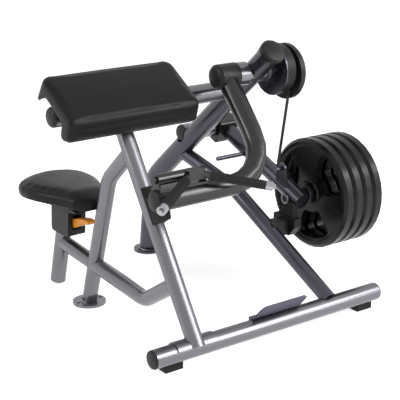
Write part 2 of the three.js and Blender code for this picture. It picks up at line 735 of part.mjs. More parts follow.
// A polygon's corners moved inwards by a distance.
function insetCorners(corners, inset) {
  return corners.map(([y, z, radius], i) => {
    const before = corners[(i + corners.length - 1) % corners.length];
    const after = corners[(i + 1) % corners.length];
    const arriving = new THREE.Vector2(y - before[0], z - before[1]).normalize();
    const leaving = new THREE.Vector2(after[0] - y, after[1] - z).normalize();
    const inward = new THREE.Vector2(arriving.y + leaving.y, -arriving.x - leaving.x);
    const reach = inset / (1 + arriving.dot(leaving));
    return [y + inward.x * reach, z + inward.y * reach, Math.max(radius - inset, 1)];
  });
}

// A polygon with every corner rounded, as a list of points.
function roundedCorners(corners, steps) {
  const outline = [];
  corners.forEach(([y, z, radius], i) => {
    const corner = new THREE.Vector2(y, z);
    const before = corners[(i + corners.length - 1) % corners.length];
    const after = corners[(i + 1) % corners.length];
    const back = new THREE.Vector2(before[0] - y, before[1] - z).normalize();
    const on = new THREE.Vector2(after[0] - y, after[1] - z).normalize();
    const half = Math.acos(THREE.MathUtils.clamp(back.dot(on), -1, 1)) / 2;
    const start = corner.clone().addScaledVector(back, radius / Math.tan(half));
    const centre = corner.clone().addScaledVector(back.clone().add(on).normalize(), radius / Math.sin(half));
    const spoke = start.sub(centre);
    const side = Math.sign(back.x * on.y - back.y * on.x);
    const turn = -side * (Math.PI - 2 * half);
    for (let step = 0; step <= steps; step += 1) {
      const place = spoke.clone().rotateAround(new THREE.Vector2(), turn * step / steps).add(centre);
      outline.push([place.x, place.y]);
    }
  });
  return outline;
}

// How far a corner that is round in plan draws a long edge in, at a distance from the pad's end.
function planSetBack(radius, fromEnd) {
  const short = Math.max(radius - fromEnd, 0);
  return radius - Math.sqrt(radius ** 2 - short ** 2);
}

function padSection(inset, swell, floor, fromEnd) {
  const back = planSetBack(PAD_PLAN_ROUNDING.back, fromEnd);
  const front = planSetBack(PAD_PLAN_ROUNDING.front, fromEnd);
  const corners = PAD_SECTION.map(([y, z, radius], i) => [
    PAD_FRONT_CORNERS.includes(i) ? y - front : y + back,
    z === -PAD.floor ? -floor : z,
    radius,
  ]);
  const outline = roundedCorners(insetCorners(corners, inset), PAD_CORNER_STEPS);
  const topStart = 2 * (PAD_CORNER_STEPS + 1);
  const from = outline[topStart - 1];
  const to = outline[topStart];
  const crown = PAD_CROWN_SHARES.map((share) => [
    from[0] + (to[0] - from[0]) * share,
    from[1] + (to[1] - from[1]) * share + swell * Math.sin(Math.PI * share),
  ]);
  outline.splice(topStart, 0, ...crown);
  return outline;
}

function buildArmPad(group) {
  const half = PAD.length / 2;
  const wall = half - PAD.endWall;
  const { floor, recess } = PAD;
  const stations = [
    [half, 5, 1, floor], [half - 1.5, 1.5, 1, floor], [half - 6, 0, 1.5, floor], [wall + 0.4, 0, 2, floor],
    [wall, 0, 2, recess], [wall - 12, 0, 3, recess], [0, 0, 6, recess], [12 - wall, 0, 3, recess],
    [-wall, 0, 2, recess], [-wall - 0.4, 0, 2, floor], [6 - half, 0, 1.5, floor], [1.5 - half, 1.5, 1, floor],
    [-half, 5, 1, floor],
  ];
  const rings = stations.map(([x, inset, swell, depth]) => (
    padSection(inset, swell, depth, half - Math.abs(x)).map(([y, z]) => point(x, -y, z))
  ));
  addPart(group, 'arm_pad', skinWithFlatLids(rings), blackVinyl());
}

// A closed skin whose two end rings are flat outlines that may be hollowed in.
function skinWithFlatLids(rings) {
  const count = rings[0].length;
  const positions = rings.flat().flatMap((corner) => [corner.x, corner.y, corner.z]);
  const index = [];
  for (let i = 0; i < rings.length - 1; i += 1) {
    for (let j = 0; j < count; j += 1) {
      const a = i * count + j;
      const b = i * count + (j + 1) % count;
      index.push(a, b + count, b, a, a + count, b + count);
    }
  }
  const flat = rings[0].map((corner) => new THREE.Vector2(corner.y, corner.z));
  const faces = THREE.ShapeUtils.triangulateShape(flat, []);
  const last = (rings.length - 1) * count;
  for (const [a, b, c] of faces) {
    index.push(a, b, c);
    index.push(last + a, last + c, last + b);
  }
  const geometry = new THREE.BufferGeometry();
  geometry.setAttribute('position', new THREE.Float32BufferAttribute(positions, 3));
  geometry.setIndex(index);
  return geometry;
}

// The board that the pad is built on, let into its underside.
function buildPadBoard(group) {
  const half = PAD.length / 2 - PAD.endWall - 4;
  const top = -PAD.recess - GAP;
  const board = box([-half, -PAD_TOP_WIDTH + 62, top - PAD.board], [half, -46, top]);
  addPart(group, 'arm_pad_board', board, plywood());
}

// A steel yoke between the crossbar and the pad's board: a plate with two webs that straddle the bar.
const YOKE = {
  halfLength: 150, halfWidth: 56, plate: 3.4, webX: 120, webThickness: 8, webHalfWidth: 50, webDrop: 16,
};

function buildPadYoke(group) {
  const frame = padFrame();
  frame.updateMatrix();
  const toPad = frame.matrix.clone().invert();
  const crossbar = crossbarCutter.clone().applyMatrix4(toPad);
  const top = -PAD.recess - PAD.board - 2 * GAP;
  const centre = point(0, CROSSBAR.y, CROSSBAR.z).applyMatrix4(toPad);
  const plate = box(
    [-YOKE.halfLength, centre.y - YOKE.halfWidth, top - YOKE.plate],
    [YOKE.halfLength, centre.y + YOKE.halfWidth, top],
  );
  const webs = [-YOKE.webX, YOKE.webX].map((x) => box(
    [x - YOKE.webThickness / 2, centre.y - YOKE.webHalfWidth, centre.z - YOKE.webDrop],
    [x + YOKE.webThickness / 2, centre.y + YOKE.webHalfWidth, top - YOKE.plate / 2],
  ));
  addPart(group, 'pad_yoke', cut(join(plate, ...webs), crossbar), slatePaint());
}

// Curl arm, in its own frame: X along the hinge, the arm hanging down -Z, turned to its rest angle

function armFrame() {
  const group = new THREE.Group();
  group.position.set(0, HINGE.y, HINGE.z);
  group.rotation.x = -ARM_REST;
  return group;
}

function buildArm(group) {
  const hubBore = clear(SHAFT_RADIUS);
  const hub = [
    [HUB.left, 0], [HUB.left, HUB.radius - 16], [HUB.left + 4, HUB.radius - 6], [HUB.left + 12, HUB.radius],
    [HUB.right, HUB.radius], [HUB.right, hubBore], [HUB.left + 22, hubBore],
    [HUB.left + 22, 0],
  ];
  addPart(group, 'arm_hub', turnedAlongX(hub, 0, 0, CUTTER_SIDES), blackPlastic());
  const corner = point(ARM_X, 0, -ARM_REACH);
  const top = point(ARM_X, 0, -20);
  const path = new TubePath([top, corner, point(ARM_LEFT_END, 0, -ARM_REACH)], ARM_BEND_RADIUS);
  const innerPath = new TubePath(
    [point(ARM_X, 0, -20), corner, point(ARM_LEFT_END + 6, 0, -ARM_REACH)],
    ARM_BEND_RADIUS,
  );
  const hubCutter = barAlongX(HUB.left - 20, HUB.right + 20, 0, 0, clear(HUB.radius), CUTTER_SIDES);
  const outer = sweep(roundSection(ARM_TUBE_RADIUS), path);
  const inner = sweep(roundSection(ARM_TUBE_RADIUS - WALL), innerPath);
  addPart(group, 'arm_tube', cut(outer, inner, hubCutter), graphitePaint());
  addPart(group, 'arm_shaft', barAlongX(HUB.left + 22 + GAP, SHAFT_END, 0, 0, SHAFT_RADIUS), plainSteel());
}

// The disc's small holes, about the hinge in the arm's own frame.
const CAM_DISC_HOLES = [[-47.1, -28.1], [-4.2, -52.9], [45.1, -47.6], [60, 10]];
const CAM_DISC_HOLE_RADIUS = 4.5;

// The cam: a round belt groove between a hollow drum and the cover.
function buildCam(group) {
  const shaft = barAlongX(CAM_DISC.left - 30, CAM_COVER.right + 20, 0, 0, clear(SHAFT_RADIUS, TUBE_SIDES));
  const core = barAlongX(CAM.left, CAM.right, 0, 0, CAM.belt, CUTTER_SIDES);
  const start = CAM_DISC.right + GAP;
  const inside = CAM_DRUM.radius - CAM_DRUM.wall;
  const drum = turnedAlongX([
    [start, inside], [start, CAM_DRUM.radius], [CAM.left + CAM.cheek, CAM_DRUM.radius],
    [CAM.left + CAM.cheek, CAM.bore], [CAM.left, CAM.bore], [CAM.left, inside], [start, inside],
  ], 0, 0, CUTTER_SIDES);
  const cam = cut(join(core, drum), shaft);
  addPart(group, 'cam', cam, blackPlastic());

  const disc = barAlongX(CAM_DISC.left, CAM_DISC.right, 0, 0, CAM_DISC.radius, CUTTER_SIDES);
  const holes = CAM_DISC_HOLES.map(([y, z]) => (
    barAlongX(CAM_DISC.left - 5, CAM_DISC.right + 5, y, z, CAM_DISC_HOLE_RADIUS, 8)
  ));
  addPart(group, 'cam_disc', cut(disc, shaft, ...holes), slatePaint());

  const { left, right, radius, drop } = CAM_COVER;
  const cover = [
    [left, 0], [left, radius], [right - 12, radius], [right - 3, radius - 7],
    [right, radius - 20], [right, 0],
  ];
  const round = turnedAlongX(cover, drop * Math.sin(ARM_REST), -drop * Math.cos(ARM_REST), PLATE_SIDES);
  addPart(group, 'cam_cover', cut(round, shaft), blackPlastic());
}

// The belt from the cam's front down to the lever's lug. Its top bears on the cam.
function buildBelt(group) {
  const pin = point(0, BELT_PIN.y, BELT_PIN.z);
  const away = point(0, pin.y - HINGE.y, pin.z - HINGE.z);
  const reach = Math.sqrt(away.lengthSq() - CAM.belt ** 2);
  const lean = Math.atan2(CAM.belt, reach);
  const direction = away.clone().normalize().applyAxisAngle(point(1, 0, 0), lean);
  const top = pin.clone().addScaledVector(direction, -reach);
  const bottom = pin.clone().addScaledVector(direction, -BELT_PIN.radius - 10);
  const side = point(0, -direction.z, direction.y);
  if (side.y > 0) {
    side.negate();
  }
  const near = side.clone().multiplyScalar(GAP);
  const far = side.clone().multiplyScalar(GAP + BELT.thickness);
  const outline = new THREE.Shape([
    new THREE.Vector2(top.y + near.y, top.z + near.z),
    new THREE.Vector2(bottom.y + near.y, bottom.z + near.z),
    new THREE.Vector2(bottom.y + far.y, bottom.z + far.z),
    new THREE.Vector2(top.y + far.y, top.z + far.z),
  ]);
  const strip = alongX(outline, BELT.x - BELT.width / 2, BELT.x + BELT.width / 2);
  addPart(group, 'belt', strip, blackRubber());
}

// Handle: a bracket on the arm's lower run, and a V bar that swivels on its pin

const BRACKET = { cheek: 22, pin: 8, cheekWidth: 8 };

function buildHandleBracket(group) {
  const runY = HINGE.y - ARM_REACH * Math.sin(ARM_REST);
  const runZ = HINGE.z - ARM_REACH * Math.cos(ARM_REST);
  const runCutter = barAlongX(0, 500, runY, runZ, clear(ARM_TUBE_RADIUS), CUTTER_SIDES);
  const { y, z, left, right } = HANDLE_PIVOT;
  const base = box([left, y - 26, runZ + 20], [right, y + 26, z - 30]);
  const spans = [[left, left + BRACKET.cheekWidth], [right - BRACKET.cheekWidth, right]];
  const cheeks = spans.map(([from, to]) => (
    join(
      box([from, y - 18, z - 34], [to, y + 18, z]),
      barAlongX(from, to, y, z, BRACKET.cheek, CUTTER_SIDES),
    )
  ));
  const bore = barAlongX(left - 10, right + 10, y, z, clear(BRACKET.pin, SMALL_SIDES), SMALL_SIDES);
  const bracket = cut(join(base, ...cheeks), runCutter, bore);
  addPart(group, 'handle_bracket', bracket, graphitePaint());
  const pin = [
    [left - 9, 0], [left - 9, 13], [left - GAP, 13], [left - GAP, BRACKET.pin], [right + GAP, BRACKET.pin],
    [right + GAP, 13], [right + 9, 13], [right + 9, 0],
  ];
  addPart(group, 'handle_pin', turnedAlongX(pin, y, z, SMALL_SIDES), platedSteel());
}

function buildHandle(group) {
  const { apexX, span, forward, drop, barRadius, gripRadius } = HANDLE;
  const { y, z, left, right } = HANDLE_PIVOT;
  const apex = point(apexX, y - 6, z + 4);
  const ends = [-1, 1].map((side) => point(apexX + side * span, apex.y - forward, apex.z - drop));
  const block = join(
    barAlongX(left + 8 + 1, right - 8 - 1, y, z, 20, 24),
    box([apexX - 34, y - 34, z - 16], [apexX + 34, y, z + 18]),
  );
  const bars = ends.map((end) => bar(apex, end, barRadius, SMALL_SIDES));
  const bore = barAlongX(left, right, y, z, clear(BRACKET.pin, SMALL_SIDES), SMALL_SIDES);
  const cheekCutter = barAlongX(
    right - BRACKET.cheekWidth - 1,
    right + 1,
    y,
    z,
    clear(BRACKET.cheek + 1),
    CUTTER_SIDES,
  );
  addPart(group, 'handle_bar', cut(join(block, ...bars), bore, cheekCutter), graphitePaint());
  ends.forEach((end, i) => {
    const direction = end.clone().sub(apex).normalize();
    const from = apex.clone().addScaledVector(direction, 62);
    const to = end.clone().addScaledVector(direction, -12);
    const core = bar(apex, end.clone().addScaledVector(direction, 4), barRadius + GAP, SMALL_SIDES);
    const side = i === 0 ? 'left' : 'right';
    addPart(group, `grip_${side}`, cut(bar(from, to, gripRadius, SMALL_SIDES), core), blackRubber());
    const cap = bar(
      to.clone().addScaledVector(direction, GAP),
      end.clone().addScaledVector(direction, 14),
      gripRadius + 0.5,
      SMALL_SIDES,
    );
    addPart(group, `grip_cap_${side}`, cut(cap, core), platedSteel());
  });
}

// Weight lever and its plates

const leverSlope = Math.atan2(
  LEVER_PIVOT.z - PEG.z - PEG_DROP,
  LEVER_PIVOT.y - PEG.y,
);
const leverDirection = point(0, -Math.cos(leverSlope), -Math.sin(leverSlope));
const leverPivot = point(LEVER_X, LEVER_PIVOT.y, LEVER_PIVOT.z);

function onLever(y) {
  return leverPivot.clone().addScaledVector(leverDirection, (LEVER_PIVOT.y - y) / Math.cos(leverSlope));
}

function buildPivotTube(group) {
  const { left, right, radius } = PIVOT_TUBE;
  addPart(group, 'lever_pivot_tube', straightTube(
    point(left, LEVER_PIVOT.y, LEVER_PIVOT.z),
    point(right, LEVER_PIVOT.y, LEVER_PIVOT.z),
    radius,
    8,
  ), silverPaint());
  const plug = radius - 8 - GAP;
  const profile = [
    [left - 10, 0], [left - 10, radius - 10], [left - 7, radius - 3], [left - GAP, radius],
    [left - GAP, plug], [left + 24, plug], [left + 24, 0],
  ];
  addPart(group, 'lever_pivot_cap', turnedAlongX(profile, LEVER_PIVOT.y, LEVER_PIVOT.z), blackPlastic());
  const shaft = barAlongX(left + 40, LEVER_HUB.right + 14, LEVER_PIVOT.y, LEVER_PIVOT.z, SHAFT_RADIUS);
  addPart(group, 'lever_shaft', shaft, plainSteel());
}

function buildLever(group) {
  const { left, right, half } = LEVER_HUB;
  const outline = new THREE.Shape();
  outline.moveTo(-half + 12, -half);
  outline.lineTo(half - 12, -half);
  outline.absarc(half - 12, -half + 12, 12, -Math.PI / 2, 0);
  outline.lineTo(half, half - 12);
  outline.absarc(half - 12, half - 12, 12, 0, Math.PI / 2);
  outline.lineTo(-half + 12, half);
  outline.absarc(-half + 12, half - 12, 12, Math.PI / 2, Math.PI);
  outline.lineTo(-half, -half + 12);
  outline.absarc(-half + 12, -half + 12, 12, Math.PI, 1.5 * Math.PI);
  const hub = alongX(outline, left, right, 3);
  hub.rotateX(leverSlope);
  hub.translate(0, LEVER_PIVOT.y, LEVER_PIVOT.z);
  const shaft = barAlongX(
    left - 20,
    right + 20,
    LEVER_PIVOT.y,
    LEVER_PIVOT.z,
    clear(SHAFT_RADIUS, TUBE_SIDES),
  );
  addPart(group, 'lever_hub', cut(hub, shaft), graphitePaint());

  const start = leverPivot.clone().addScaledVector(leverDirection, half + GAP);
  const end = onLever(PEG.y - 58);
  const innerEnd = onLever(PEG.y - 52);
  const before = start.clone().addScaledVector(leverDirection, -1);
  const nutCutter = barAlongX(PEG.left - 50, PEG_NUT.right, PEG.y, PEG.z, clear(PEG_NUT.radius, TUBE_SIDES));
  const pegCutter = barAlongX(
    PEG_NUT.right - GAP,
    PEG_COLLAR.right,
    PEG.y,
    PEG.z,
    clear(PEG.radius, TUBE_SIDES),
  );
  const rodZ = onLever(STOP_ROD.y).z - STOP_ROD.drop;
  const rodCutter = barAlongX(700, 1000, STOP_ROD.y, rodZ, clear(STOP_ROD.radius, SMALL_SIDES), SMALL_SIDES);
  const outer = bar(start, end, LEVER_TUBE_RADIUS);
  const inner = bar(before, innerEnd, LEVER_TUBE_RADIUS - 4);
  addPart(group, 'lever_tube', cut(outer, inner, nutCutter, pegCutter, rodCutter), slatePaint());

  const rod = barAlongX(STOP_ROD.left, STOP_ROD.right, STOP_ROD.y, rodZ, STOP_ROD.radius, SMALL_SIDES);
  addPart(group, 'stop_rod', rod, platedSteel());

  const peg = [
    [PEG.left, 0], [PEG.left, PEG_NUT.radius - 3],
    [PEG.left + 2, PEG_NUT.radius], [PEG_NUT.right, PEG_NUT.radius],
    [PEG_NUT.right, PEG.radius], [PEG_COLLAR.left, PEG.radius], [PEG_COLLAR.left, PEG_COLLAR.radius - 4],
    [PEG_COLLAR.left + 4, PEG_COLLAR.radius], [PEG_COLLAR.right - 3, PEG_COLLAR.radius],
    [PEG_COLLAR.right, PEG_COLLAR.radius - 3], [PEG_COLLAR.right, PEG.radius], [PEG.right - 4, PEG.radius],
    [PEG.right, PEG.radius - 4], [PEG.right, 0],
  ];
  addPart(group, 'weight_peg', turnedAlongX(peg, PEG.y, PEG.z), darkSteel());
}

function buildBeltLug(group) {
  const tube = bar(leverPivot, onLever(PEG.y - 80), clear(LEVER_TUBE_RADIUS), CUTTER_SIDES);
  const foot = onLever(BELT_PIN.y);
  const plate = new THREE.Shape();
  const spread = 36;
  const rise = BELT_PIN.z - foot.z;
  plate.moveTo(-spread, 8);
  plate.lineTo(spread, 8);
  plate.lineTo(24, rise);
  plate.absarc(0, rise, 24, 0, Math.PI);
  const geometry = alongX(plate, 872, 880);
  geometry.translate(0, BELT_PIN.y, foot.z);
  const rib = box([876, BELT_PIN.y - 5, foot.z + 30], [LEVER_X + 16, BELT_PIN.y + 5, BELT_PIN.z - 26]);
  const bore = barAlongX(800, 950, BELT_PIN.y, BELT_PIN.z, clear(BELT_PIN.radius, 12), 12);
  addPart(group, 'belt_lug', cut(join(geometry, rib), tube, bore), slatePaint());
  const left = BELT.x - BELT.width / 2 - 4;
  const bolt = [
    [left, 0], [left, 15], [left + 3.5, 15], [left + 3.5, BELT_PIN.radius], [884 + GAP, BELT_PIN.radius],
    [884 + GAP, 12], [892, 12], [892, 0],
  ];
  addPart(group, 'belt_bolt', turnedAlongX(bolt, BELT_PIN.y, BELT_PIN.z, 12), platedSteel());
}

// One rubber plate: a rim and a hub stand proud of a thinner web, which three grip openings pierce.
function plateGeometry(left) {
  const { radius, width, bore, sunk, rim } = PLATE;
  const right = left + width;
  const profile = [
    [left + sunk, bore], [left + sunk, rim - 8], [left, rim], [left, radius - 12], [left + 11, radius],
    [right - 11, radius], [right, radius - 12], [right, rim], [right - sunk, rim - 8], [right - sunk, bore],
    [left + sunk, bore],
  ];
  const disc = turnedAlongX(profile, PEG.y, PEG.z, PLATE_SIDES);
  return cut(disc, ...gripOutlines().map((outline) => alongX(outline, left - 10, right + 10, 3)));
}

// The three grip openings about the plate's middle, each a sector with round corners.
function gripOutlines() {
  const { inner, outer, corner, halfAngle, first, count } = GRIP_HOLE;
  const outerSwing = halfAngle - Math.asin(corner / (outer - corner));
  const innerSwing = halfAngle - Math.asin(corner / (inner + corner));
  const quarter = Math.PI / 2;
  const outlines = [];
  for (let i = 0; i < count; i += 1) {
    const centre = first + 2 * Math.PI * i / count;
    const cornerAt = (reach, angle) => (
      [PEG.y + reach * Math.cos(angle), PEG.z + reach * Math.sin(angle), corner]
    );
    const before = centre - halfAngle;
    const after = centre + halfAngle;
    const outline = new THREE.Shape();
    outline.absarc(PEG.y, PEG.z, outer, centre - outerSwing, centre + outerSwing, false);
    outline.absarc(
      ...cornerAt(outer - corner, centre + outerSwing),
      centre + outerSwing,
      after + quarter,
      false,
    );
    outline.absarc(
      ...cornerAt(inner + corner, centre + innerSwing),
      after + quarter,
      centre + innerSwing + 2 * quarter,
      false,
    );
    outline.absarc(PEG.y, PEG.z, inner, centre + innerSwing, centre - innerSwing, true);
    outline.absarc(
      ...cornerAt(inner + corner, centre - innerSwing),
      centre - innerSwing + 2 * quarter,
      before + 3 * quarter,
      false,
    );
    outline.absarc(
      ...cornerAt(outer - corner, centre - outerSwing),
      before + 3 * quarter,
      centre - outerSwing + 4 * quarter,
      false,
    );
    outlines.push(outline);
  }
  return outlines;
}

function buildPlates(group) {
  for (let i = 0; i < PLATE.count; i += 1) {
    addPart(group, `weight_plate_${i + 1}`, plateGeometry(PLATE.first + i * PLATE.pitch), blackRubber());
  }
}

// The rubber block under the weight lever, on its bracket from the brace.
const BUMPER = { left: 850, right: 886, front: 244, back: 372, bottom: 262, top: 336 };

function buildBumper(group) {
  const corners = BRACE.map(({ x, y, z }) => point(x, y, z));
  const braceCutter = bar(corners[0], corners[1], clear(LEG_RADIUS), CUTTER_SIDES);
  const tube = bar(leverPivot, onLever(PEG.y - 80), clear(LEVER_TUBE_RADIUS), CUTTER_SIDES);
  const peg = barAlongX(PEG.left - 10, PLATE.first, PEG.y, PEG.z, clear(PEG.radius + 1), CUTTER_SIDES);
  const { left, right, front, back, bottom, top } = BUMPER;
  const outline = new THREE.Shape();
  outline.moveTo(front, bottom + 40);
  outline.lineTo(front, top);
  outline.lineTo(back, top);
  outline.lineTo(back, bottom + 40);
  outline.lineTo(back - 34, bottom);
  outline.lineTo(front + 34, bottom);
  const body = alongX(outline, left, right);
  const root = box([770, front + 34, bottom + 6], [left + 1, back - 34, top - 10]);
  addPart(group, 'bumper_bracket', cut(join(root, body), braceCutter), slatePaint());
  const block = box([left + 10, front + 24, top + GAP], [right, back - 36, top + 60]);
  addPart(group, 'bumper_block', cut(block, tube, peg), blackRubber());
}

// Assembly

const machine = new THREE.Group();
const frame = new THREE.Group();
machine.add(frame);
buildBase(frame);
buildSaddle(frame);
buildFrontUpright(frame);
buildRearLeg(frame);
buildRails(frame);
buildSeatSleeve(frame);
buildCrossbar(frame);
buildMast(frame);
buildBearingHousing(frame);
buildBrace(frame);
buildFootrest(frame);
buildArmStop(frame);
buildPivotTube(frame);
buildBumper(frame);

const padGroup = padFrame();
frame.add(padGroup);
buildArmPad(padGroup);
buildPadBoard(padGroup);
buildPadYoke(padGroup);

buildSeatLock(frame);
buildSeatLockLever(frame);

const seat = new THREE.Group();
machine.add(seat);
buildSeat(seat);
buildSeatPad(seat);

const arm = armFrame();
machine.add(arm);
buildArm(arm);
buildCam(arm);

const armFittings = new THREE.Group();
machine.add(armFittings);
buildHandleBracket(armFittings);
buildHandle(armFittings);
buildBelt(armFittings);

const lever = new THREE.Group();
machine.add(lever);
buildLever(lever);
buildBeltLug(lever);
buildPlates(lever);

machine.updateMatrixWorld(true);
const bounds = new THREE.Box3().setFromObject(machine, true);
const middle = bounds.getCenter(new THREE.Vector3());
machine.position.set(-middle.x, -middle.y, -bounds.min.z);

export default machine;
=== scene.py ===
"""Dresses the biceps curl machine: paints, rubber, vinyl cushions, small hardware, light and camera."""

import math

import bmesh
import bpy
import numpy as np
from mathutils import Matrix, Vector
from mathutils.bvhtree import BVHTree


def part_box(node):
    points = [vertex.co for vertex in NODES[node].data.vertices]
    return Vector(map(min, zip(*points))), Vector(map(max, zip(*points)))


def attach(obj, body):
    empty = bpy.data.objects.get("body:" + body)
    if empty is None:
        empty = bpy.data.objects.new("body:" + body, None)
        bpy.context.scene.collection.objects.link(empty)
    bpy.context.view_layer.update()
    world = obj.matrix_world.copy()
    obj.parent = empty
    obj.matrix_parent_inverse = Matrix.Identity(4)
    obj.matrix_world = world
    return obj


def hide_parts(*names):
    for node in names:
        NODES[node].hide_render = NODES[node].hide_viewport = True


bl_info = {
    "name": "Biceps curl machine",
    "version": (1, 0, 0),
    "blender": (4, 2, 0),
    "location": "View3D > Sidebar > Curl machine",
    "description": "Dresses the packed biceps curl machine with materials, cushions and hardware",
    "category": "Object",
}

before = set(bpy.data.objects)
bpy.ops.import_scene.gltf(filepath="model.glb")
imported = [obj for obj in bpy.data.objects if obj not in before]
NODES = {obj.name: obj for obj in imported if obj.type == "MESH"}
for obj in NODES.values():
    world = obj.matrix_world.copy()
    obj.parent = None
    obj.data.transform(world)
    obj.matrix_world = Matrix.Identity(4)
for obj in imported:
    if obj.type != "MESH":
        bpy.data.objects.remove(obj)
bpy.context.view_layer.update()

MM = 0.001
# The model's frame lies this far from the base tube's left end.
SHIFT = Vector((-0.59885, -0.52239, 0.0))

PAD_TOP_BACK = Vector((0.0, 0.532, 0.976))
PAD_SLOPE = math.radians(32)
PAD_WIDTH = 0.246
PAD_ENDS = (-0.098, 0.454)
PAD_WALL = 0.008

HINGE = (0.345, 0.928)
PEG = (0.320, 0.402)
PEG_LEFT = 0.864
ARM_END = (0.084, 0.0661, 0.606)
PLATE_LEFTS = (0.985, 1.0362, 1.0874, 1.1386)
PLATE_THICKNESS = 0.0506


def place(x, y, z):
    """A point measured from the base tube's left end, in the model's frame, in metres."""
    return Vector((x, y, z)) + SHIFT


# ---------------------------------------------------------------- settings

class CURL_PG_cushions(bpy.types.PropertyGroup):
    voxel: bpy.props.FloatProperty(
        name="Cushion mesh size", description="Edge length of the cushion's mesh",
        default=0.0047, unit="LENGTH")
    pressure: bpy.props.FloatProperty(
        name="Filling pressure", description="How hard the foam presses on the cover", default=4.0)
    pad_swell: bpy.props.FloatProperty(
        name="Arm pad swell", description="Most that the arm pad's cover may move",
        default=0.006, unit="LENGTH")
    seat_swell: bpy.props.FloatProperty(
        name="Seat swell", description="Most that the seat's cover may move",
        default=0.007, unit="LENGTH")
    welt: bpy.props.FloatProperty(
        name="Welt radius", description="Radius of the sewn welt", default=0.0022, unit="LENGTH")


class CURL_PG_hardware(bpy.types.PropertyGroup):
    bolt_size: bpy.props.FloatProperty(
        name="Bolt size", description="Width across the flats of a bolt's head",
        default=0.017, unit="LENGTH")
    bead: bpy.props.FloatProperty(
        name="Weld bead", description="Radius of the weld beads", default=0.0035, unit="LENGTH")
    rib_pitch: bpy.props.FloatProperty(
        name="Grip rib pitch", description="Distance between the grips' ribs",
        default=0.008, unit="LENGTH")


class CURL_PG_stage(bpy.types.PropertyGroup):
    front_power: bpy.props.FloatProperty(
        name="Front light", description="Power of the wide light in front", default=190.0, unit="POWER")
    tall_power: bpy.props.FloatProperty(
        name="Tall light", description="Power of the upright light in front", default=140.0, unit="POWER")
    side_power: bpy.props.FloatProperty(
        name="Side light", description="Power of the light on the left", default=90.0, unit="POWER")
    ambient: bpy.props.FloatProperty(
        name="Ambient level", description="Brightness of the surroundings", default=0.45)


# ---------------------------------------------------------------- colour and nodes

def linear(code):
    """An sRGB hex colour as a linear RGBA colour."""
    channels = [int(code[i:i + 2], 16) / 255 for i in (1, 3, 5)]
    values = [c / 12.92 if c <= 0.04045 else ((c + 0.055) / 1.055) ** 2.4 for c in channels]
    return (*values, 1.0)


def shade(code, factor):
    """The colour with its linear light multiplied by a factor."""
    red, green, blue, _ = linear(code)
    return (min(red * factor, 1), min(green * factor, 1), min(blue * factor, 1), 1.0)


def add_node(tree, kind, inputs=None, **settings):
    """One node. inputs sets a socket's value, or links it where the value is a socket."""
    node = tree.nodes.new(kind)
    for key, value in settings.items():
        setattr(node, key, value)
    for key, value in (inputs or {}).items():
        if isinstance(value, bpy.types.NodeSocket):
            tree.links.new(value, node.inputs[key])
        else:
            node.inputs[key].default_value = value
    return node


def new_material(name):
    """A material with its tree, its main shader and the object's coordinates."""
    made = bpy.data.materials.new(name)
    made.use_nodes = True
    tree = made.node_tree
    tree.nodes.clear()
    shader = add_node(tree, "ShaderNodeBsdfPrincipled")
    add_node(tree, "ShaderNodeOutputMaterial", {"Surface": shader.outputs["BSDF"]})
    where = add_node(tree, "ShaderNodeTexCoord").outputs["Object"]
    return made, tree, shader, where


def noise(tree, where, size_mm, detail=2.0, roughness=0.5):
    """A noise whose features are size_mm across, from 0 to 1."""
    made = add_node(tree, "ShaderNodeTexNoise", {
        "Vector": where, "Scale": 1000 / size_mm, "Detail": detail, "Roughness": roughness})
    return made.outputs["Fac"]


def spread(tree, factor, low, high, start=0.3, end=0.7):
    """A value that runs from low to high as factor runs from start to end."""
    return add_node(tree, "ShaderNodeMapRange", {
        "Value": factor, "From Min": start, "From Max": end, "To Min": low, "To Max": high}).outputs["Result"]


def mixed(tree, factor, first, second):
    """A colour between first and second, each a colour or a colour socket."""
    made = add_node(tree, "ShaderNodeMix", data_type="RGBA")
    for socket, value in ((made.inputs[0], factor), (made.inputs[6], first), (made.inputs[7], second)):
        if isinstance(value, bpy.types.NodeSocket):
            tree.links.new(value, socket)
        else:
            socket.default_value = value
    return made.outputs[2]


def bump(tree, shader, height, depth_mm, strength=1.0, under=None):
    """Raises the surface by up to depth_mm where height is 1."""
    inputs = {"Height": height, "Distance": depth_mm * MM, "Strength": strength}
    if under:
        inputs["Normal"] = under
    made = add_node(tree, "ShaderNodeBump", inputs)
    tree.links.new(made.outputs["Normal"], shader.inputs["Normal"])
    return made.outputs["Normal"]


def stretched(tree, where, along, across):
    """The coordinates scaled, so that a noise is drawn out into lines."""
    scaled = add_node(tree, "ShaderNodeMapping", {"Vector": where, "Scale": (across, across, along)})
    return scaled.outputs["Vector"]


def link(tree, shader, **sockets):
    """Sets the shader's sockets by name, with underscores for spaces."""
    for key, value in sockets.items():
        socket = shader.inputs[key.replace("_", " ")]
        if isinstance(value, bpy.types.NodeSocket):
            tree.links.new(value, socket)
        else:
            socket.default_value = value


# ---------------------------------------------------------------- materials

def metallic_paint(name, code, metallic, rough, coat):
    """Baked metallic paint on steel tube: fine flakes, a slight orange peel and handling marks."""
    made, tree, shader, where = new_material(name)
    flakes = noise(tree, where, 0.9, 1.0)
    clouds = noise(tree, where, 160, 3.0)
    colour = mixed(tree, spread(tree, flakes, 0, 1), shade(code, 0.94), shade(code, 1.06))
    marks = spread(tree, noise(tree, stretched(tree, where, 9, 60), 400, 4.0, 0.6), 0, 1, 0.62, 0.72)
    link(tree, shader, Base_Color=mixed(tree, marks, colour, shade(code, 0.92)), Metallic=metallic,
         Roughness=spread(tree, clouds, rough - 0.04, rough + 0.06), Coat_Weight=coat, Coat_Roughness=0.12)
    peel = bump(tree, shader, noise(tree, where, 9.0, 1.0), 0.006, 0.1)
    bump(tree, shader, flakes, 0.001, 0.15, peel)
    return made


